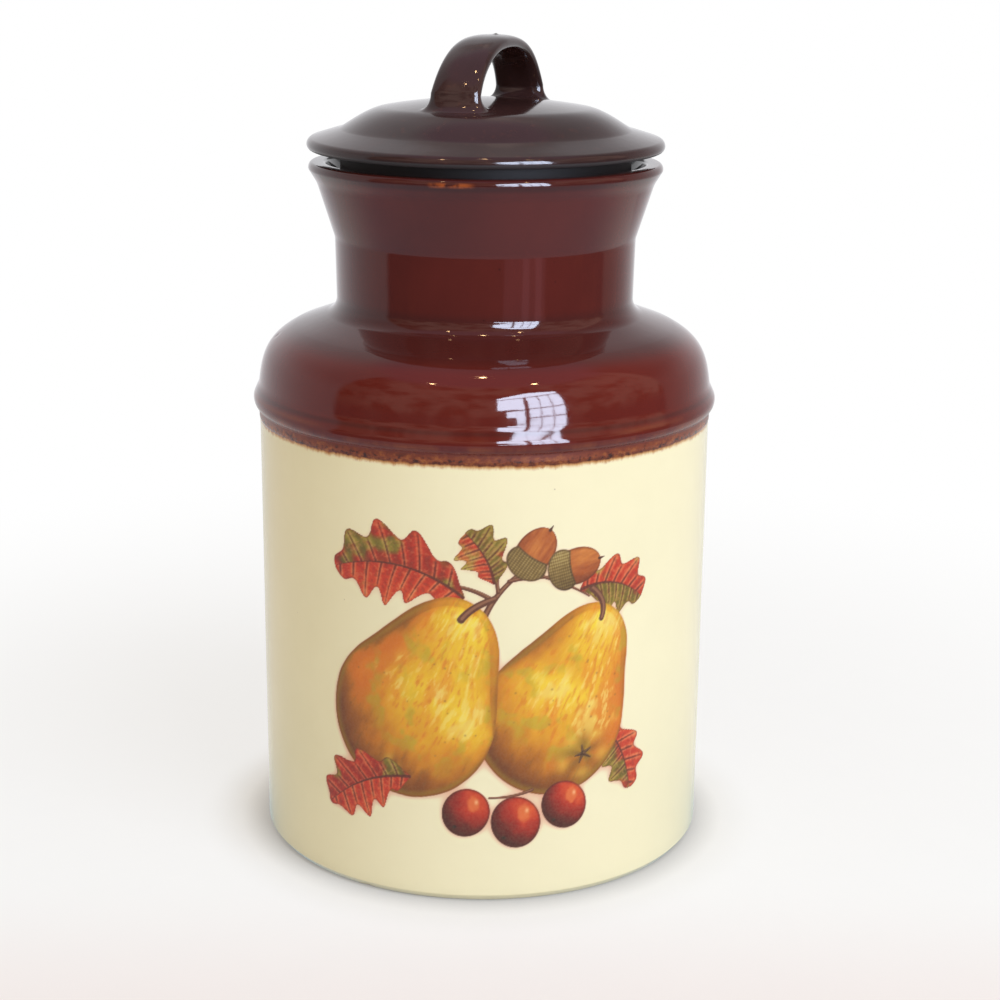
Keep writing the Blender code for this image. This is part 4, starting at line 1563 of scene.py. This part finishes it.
def make_camera():
    """The camera at the photograph's height, distance and angle."""
    data = bpy.data.cameras.new("camera")
    data.lens = CAMERA_LENS
    data.sensor_width = CAMERA_SENSOR
    camera = linked("camera", data)
    turn = Matrix.Rotation(CAMERA_YAW, 3, "Z")
    forward = turn @ Vector((0, math.cos(CAMERA_PITCH), -math.sin(CAMERA_PITCH)))
    side = turn @ Vector((1, 0, 0))
    up = turn @ Vector((0, math.sin(CAMERA_PITCH), math.cos(CAMERA_PITCH)))
    right = math.cos(CAMERA_ROLL) * side + math.sin(CAMERA_ROLL) * up
    top = math.cos(CAMERA_ROLL) * up - math.sin(CAMERA_ROLL) * side
    placed = Matrix((right, top, -forward)).transposed().to_4x4()
    placed.translation = CAMERA_PLACE
    camera.matrix_world = placed
    bpy.context.scene.camera = camera


def staged(name, shape, material):
    """A stage object from its shape, which is used up, and its material."""
    mesh = bpy.data.meshes.new(name)
    shape.to_mesh(mesh)
    shape.free()
    mesh.materials.append(material)
    made = linked(name, mesh)
    return made


# How much of the floor's brightness in the picture is its own white, and where it fades away
FLOOR_LIFT = 0.74
FLOOR_FADE = (0.10, 0.42)

# The tint of that white in front of the object, and from where to where along Y it sets in
FLOOR_BLUSH = (0.945, 0.865, 0.845)
BLUSH_FADE = (-0.05, -0.14)

# How much of it is left near the object, and how near that is
CONTACT_LIFT = 0.42
CONTACT_FADE = (0.067, 0.088)

# Painted contact shadow: how dark the floor gets where the object nearly touches it, and from how near
CONTACT_SHADOW_LEVEL = 0.45
CONTACT_REACH = 0.009

# The floor as the glaze mirrors it, dim in front and white at the sides and behind
FLOOR_MIRRORED = (0.39, 0.54, 0.64)
FLOOR_WHITE = (0.80, 0.82, 0.82)
FLOOR_DIM_HALF = 100
FLOOR_DIM_SOFT = 22.0


def make_floor(sizes, colours):
    """A round pale floor that fades to white for the camera alone, with the object's shadow on it."""
    material, w = new_material("floor_paper")
    place = w.node("ShaderNodeTexCoord")["Object"]
    x, y, _ = w.parts(place)
    colour = w.mix(w.noise(place, 60.0, 4.0), shade(colours.floor, 0.97), shade(colours.floor, 1.03))
    # Painted contact shadow: an occlusion test darkens the floor's colour and its own white near the object's
    # foot
    free = w.node("ShaderNodeAmbientOcclusion", {"Distance": CONTACT_REACH}, samples=8)["AO"]
    dark = w.blend(free, CONTACT_SHADOW_LEVEL, 1.0)
    matt = w.node("ShaderNodeBsdfDiffuse", {"Color": w.scaled(colour, dark)})[0]
    white = w.shining(w.mix(w.rise(y, *BLUSH_FADE), (1, 1, 1, 1), (*FLOOR_BLUSH, 1)), dark)
    front = w.between(w.azimuth(x, y), -FLOOR_DIM_HALF, FLOOR_DIM_HALF, FLOOR_DIM_SOFT)
    dim = w.shining(w.mix(front, (*FLOOR_WHITE, 1), (*FLOOR_MIRRORED, 1)))
    away = w.node("ShaderNodeVectorMath", {0: place}, operation="LENGTH")["Value"]
    near = w.blend(w.rise(away, *CONTACT_FADE), CONTACT_LIFT, FLOOR_LIFT)
    lift = w.blend(w.rise(away, *FLOOR_FADE), near, 1.0)
    path = w.node("ShaderNodeLightPath")
    seen = w.shaders(w.times(lift, path["Is Camera Ray"]), matt, white)
    w.node("ShaderNodeOutputMaterial", {"Surface": w.shaders(path["Is Glossy Ray"], seen, dim)})
    shape = bmesh.new()
    bmesh.ops.create_circle(shape, cap_ends=True, segments=128, radius=sizes.floor_radius)
    staged("floor", shape, material)


# The light that falls on the object from all round, at the level of the horizon and overhead
SKY_LOW = (0.66, 0.562, 0.432)
SKY_HIGH = (0.545, 0.487, 0.419)

# What the glaze mirrors: the room in front below and over the horizon, the ceiling, and the backdrop behind
ROOM_DIM = (0.08, 0.13, 0.15)
ROOM_WALL = (0.50, 0.36, 0.30)
LOW_PANES = (0.90, 0.50, 0.60)
CEILING = (0.46, 0.35, 0.44)
NEAR_LEFT = (0.47, 0.57, 0.61)
NEAR_RIGHT = (0.33, 0.33, 0.33)
BACKDROP = (0.95, 0.95, 0.98)

# Where in the room it is, in degrees round from the front and over the horizon
LOW_PANE_SPAN = (14, 46)
LOW_PANE_BRIGHT = ((28, 33), (38, 43))
LOW_PANE_RISE = (-20, -2)
BACKDROP_FALL = (10, 34)
BACKDROP_HIGH = (0.72, 0.52)

# The backdrop at the left and right: where it begins, is whole and is white, in degrees, and its near tone
BACKDROP_SIDES = ((-77, -82, -165, NEAR_LEFT), (99, 104, 170, NEAR_RIGHT))


def make_world():
    """White behind the object for the camera, a dim room for the glaze to mirror, and soft light."""
    world = bpy.data.worlds.new("room")
    world.use_nodes = True
    world.node_tree.nodes.clear()
    bpy.context.scene.world = world
    w = Wires(world.node_tree)
    heading = w.node("ShaderNodeTexCoord")["Generated"]
    x, y, z = w.parts(heading)
    azimuth = w.azimuth(x, y)
    elevation = w.math("DEGREES", w.math("ARCSINE", z))
    sky = w.mix(w.rise(z, 0.0, 0.9), (*SKY_LOW, 1), (*SKY_HIGH, 1))
    blots = w.blend(w.rise(w.noise(heading, 5.0, 3.0), 0.36, 0.62), 0.35, 1.45)
    blots = w.times(blots, w.blend(w.rise(azimuth, -52, -70), 1.0, 0.5))
    room = w.mix(w.rise(elevation, -1, 9), (*ROOM_DIM, 1), w.scaled(ROOM_WALL, blots))
    strips = w.plus(*[w.between(azimuth, *span, 0.6) for span in LOW_PANE_BRIGHT])
    panes = w.times(w.between(azimuth, *LOW_PANE_SPAN, 1.0), w.blend(strips, 0.4, 0.9))
    room = w.mix(w.times(panes, w.between(elevation, *LOW_PANE_RISE, 1.0)), room, (*LOW_PANES, 1))
    mirrored = w.mix(w.rise(elevation, 48, 60), room, (*CEILING, 1))
    centre = w.times(w.rise(w.math("ABSOLUTE", x), 0.30, 0.08), w.rise(elevation, 36, 44), 0.5)
    low = w.times(w.rise(elevation, 66, 52), w.math("SUBTRACT", 1.0, centre))
    high = w.blend(w.rise(x, -0.35, 0.35), *BACKDROP_HIGH)
    fall = w.blend(w.rise(elevation, *BACKDROP_FALL), 1.0, high)
    for edge, whole, white, near in BACKDROP_SIDES:
        wall = w.scaled(w.mix(w.rise(azimuth, edge, white), (*near, 1), (*BACKDROP, 1)), fall)
        mirrored = w.mix(w.times(w.rise(azimuth, edge, whole), low), mirrored, wall)
    path = w.node("ShaderNodeLightPath")
    colour = w.mix(path["Is Glossy Ray"], sky, mirrored)
    colour = w.mix(path["Is Camera Ray"], colour, (1, 1, 1, 1))
    w.node("ShaderNodeOutputWorld", {"Surface": w.node("ShaderNodeBackground", {"Color": colour})[0]})


def direction(azimuth, elevation):
    """A unit vector, with the azimuth in degrees from the front and positive to the right."""
    a, e = math.radians(azimuth), math.radians(elevation)
    return Vector((math.sin(a) * math.cos(e), -math.cos(a) * math.cos(e), math.sin(e)))


# The soft light from the front right
KEY_AIM = (38, 42)
KEY_DISTANCE = 1.3
KEY_SIZE = 0.75
KEY_POWER = 14.0
KEY_COLOUR = (0.70, 0.82, 1.0)
OBJECT_MIDDLE = Vector((0, 0, 0.11))


def make_key_light():
    """A soft square light whose shape the glaze doesn't mirror."""
    data = bpy.data.lights.new("key_light", "AREA")
    data.size = KEY_SIZE
    data.energy = KEY_POWER
    data.color = KEY_COLOUR
    light = linked("key_light", data)
    aim = direction(*KEY_AIM)
    light.location = OBJECT_MIDDLE + aim * KEY_DISTANCE
    light.rotation_euler = aim.to_track_quat("Z", "Y").to_euler()
    light.visible_glossy = False
    light.visible_camera = False


# The window as the shoulder sees it: edges, bottoms and tops of sashes in degrees, panes across and up
WINDOW_EYE = Vector((0.012, -0.064, 0.142))
WINDOW_DISTANCE = 2.4
WINDOW_BAR = (0.55, 0.9)
SASHES = (
    (6.5, 23.2, (25.8, 30.6), (29.3, 38.9), 1, 1),
    (22.8, 41.8, (30.6, 34.4), (39.6, 39.2), 1, 1),
    (6.5, 21.2, (11.4, 12.4), (25.8, 30.2), 1, 1),
    (11.2, 16.3, (4.9, 4.9), (11.0, 11.6), 1, 1),
    (15.8, 21.2, (3.1, 3.1), (11.6, 12.4), 1, 1),
    (22.8, 41.8, (13.0, 15.2), (30.6, 34.4), 3, 1),
    (22.8, 41.8, (-3.5, -3.5), (13.0, 15.2), 3, 2),
    (6.5, 21.2, (-3.5, -3.5), (-0.2, 2.2), 1, 1),
)
WINDOW_LIGHT = (15.0, 17.0, 21.5)


def mirrored_only(name, shape, material_name, light):
    """A stage object that only shines, and shows in glossy reflections alone."""
    material, w = new_material(material_name)
    w.node("ShaderNodeOutputMaterial", {"Surface": w.shining((*light, 1))})
    made = staged(name, shape, material)
    made.visible_camera = False
    made.visible_diffuse = False
    made.visible_transmission = False
    made.visible_volume_scatter = False
    made.visible_shadow = False


def make_window():
    """Bright panes in front on the right, which only the glaze mirrors."""
    shape = bmesh.new()
    for left, right, bottom, top, across, up in SASHES:
        for i, j in np.ndindex(across, up):
            corners = []
            for over, higher in ((0, 0), (1, 0), (1, 1), (0, 1)):
                share = (i + over) / across
                low = bottom[0] + (bottom[1] - bottom[0]) * share
                high = top[0] + (top[1] - top[0]) * share
                azimuth = left + (right - left) * share - WINDOW_BAR[0] * over
                elevation = low + (high - low) * (j + higher) / up - WINDOW_BAR[1] * higher
                corners.append(WINDOW_EYE + direction(azimuth, elevation) * WINDOW_DISTANCE)
            shape.faces.new([shape.verts.new(corner) for corner in corners])
    mirrored_only("window", shape, "daylight", WINDOW_LIGHT)


# Warm ceiling lamps, by azimuth and elevation in degrees
LAMPS = ((-38, 58), (-3, 80), (38, 60))
LAMP_HEIGHT = 2.0
LAMP_SIZE = 0.036
LAMP_LIGHT = (120.0, 72.0, 34.0)


def make_ceiling_lamps():
    """Small warm lamps overhead, which only the glaze mirrors."""
    shape = bmesh.new()
    for azimuth, elevation in LAMPS:
        aim = direction(azimuth, elevation)
        placed = Matrix.Translation(aim * (LAMP_HEIGHT / aim.z))
        bmesh.ops.create_circle(shape, cap_ends=True, segments=24, radius=LAMP_SIZE, matrix=placed)
    mirrored_only("ceiling_lamps", shape, "warm_glow", LAMP_LIGHT)


STEPS = (CANISTER_OT_stage, CANISTER_OT_jar, CANISTER_OT_lid, CANISTER_OT_print)
GROUPS = (CanisterSizes, CanisterColours)


def register():
    """Registers the settings, the steps and the panel."""
    for made in (*GROUPS, *STEPS, CANISTER_PT_panel):
        bpy.utils.register_class(made)
    bpy.types.Scene.canister_sizes = bpy.props.PointerProperty(type=CanisterSizes)
    bpy.types.Scene.canister_colours = bpy.props.PointerProperty(type=CanisterColours)


def unregister():
    """Removes them again."""
    del bpy.types.Scene.canister_colours
    del bpy.types.Scene.canister_sizes
    for made in reversed((*GROUPS, *STEPS, CANISTER_PT_panel)):
        bpy.utils.unregister_class(made)


def main():
    """Builds everything."""
    register()
    bpy.ops.canister.stage()
    bpy.ops.canister.jar()
    bpy.ops.canister.lid()
    bpy.ops.canister.print()


if __name__ == "__main__":
    main()
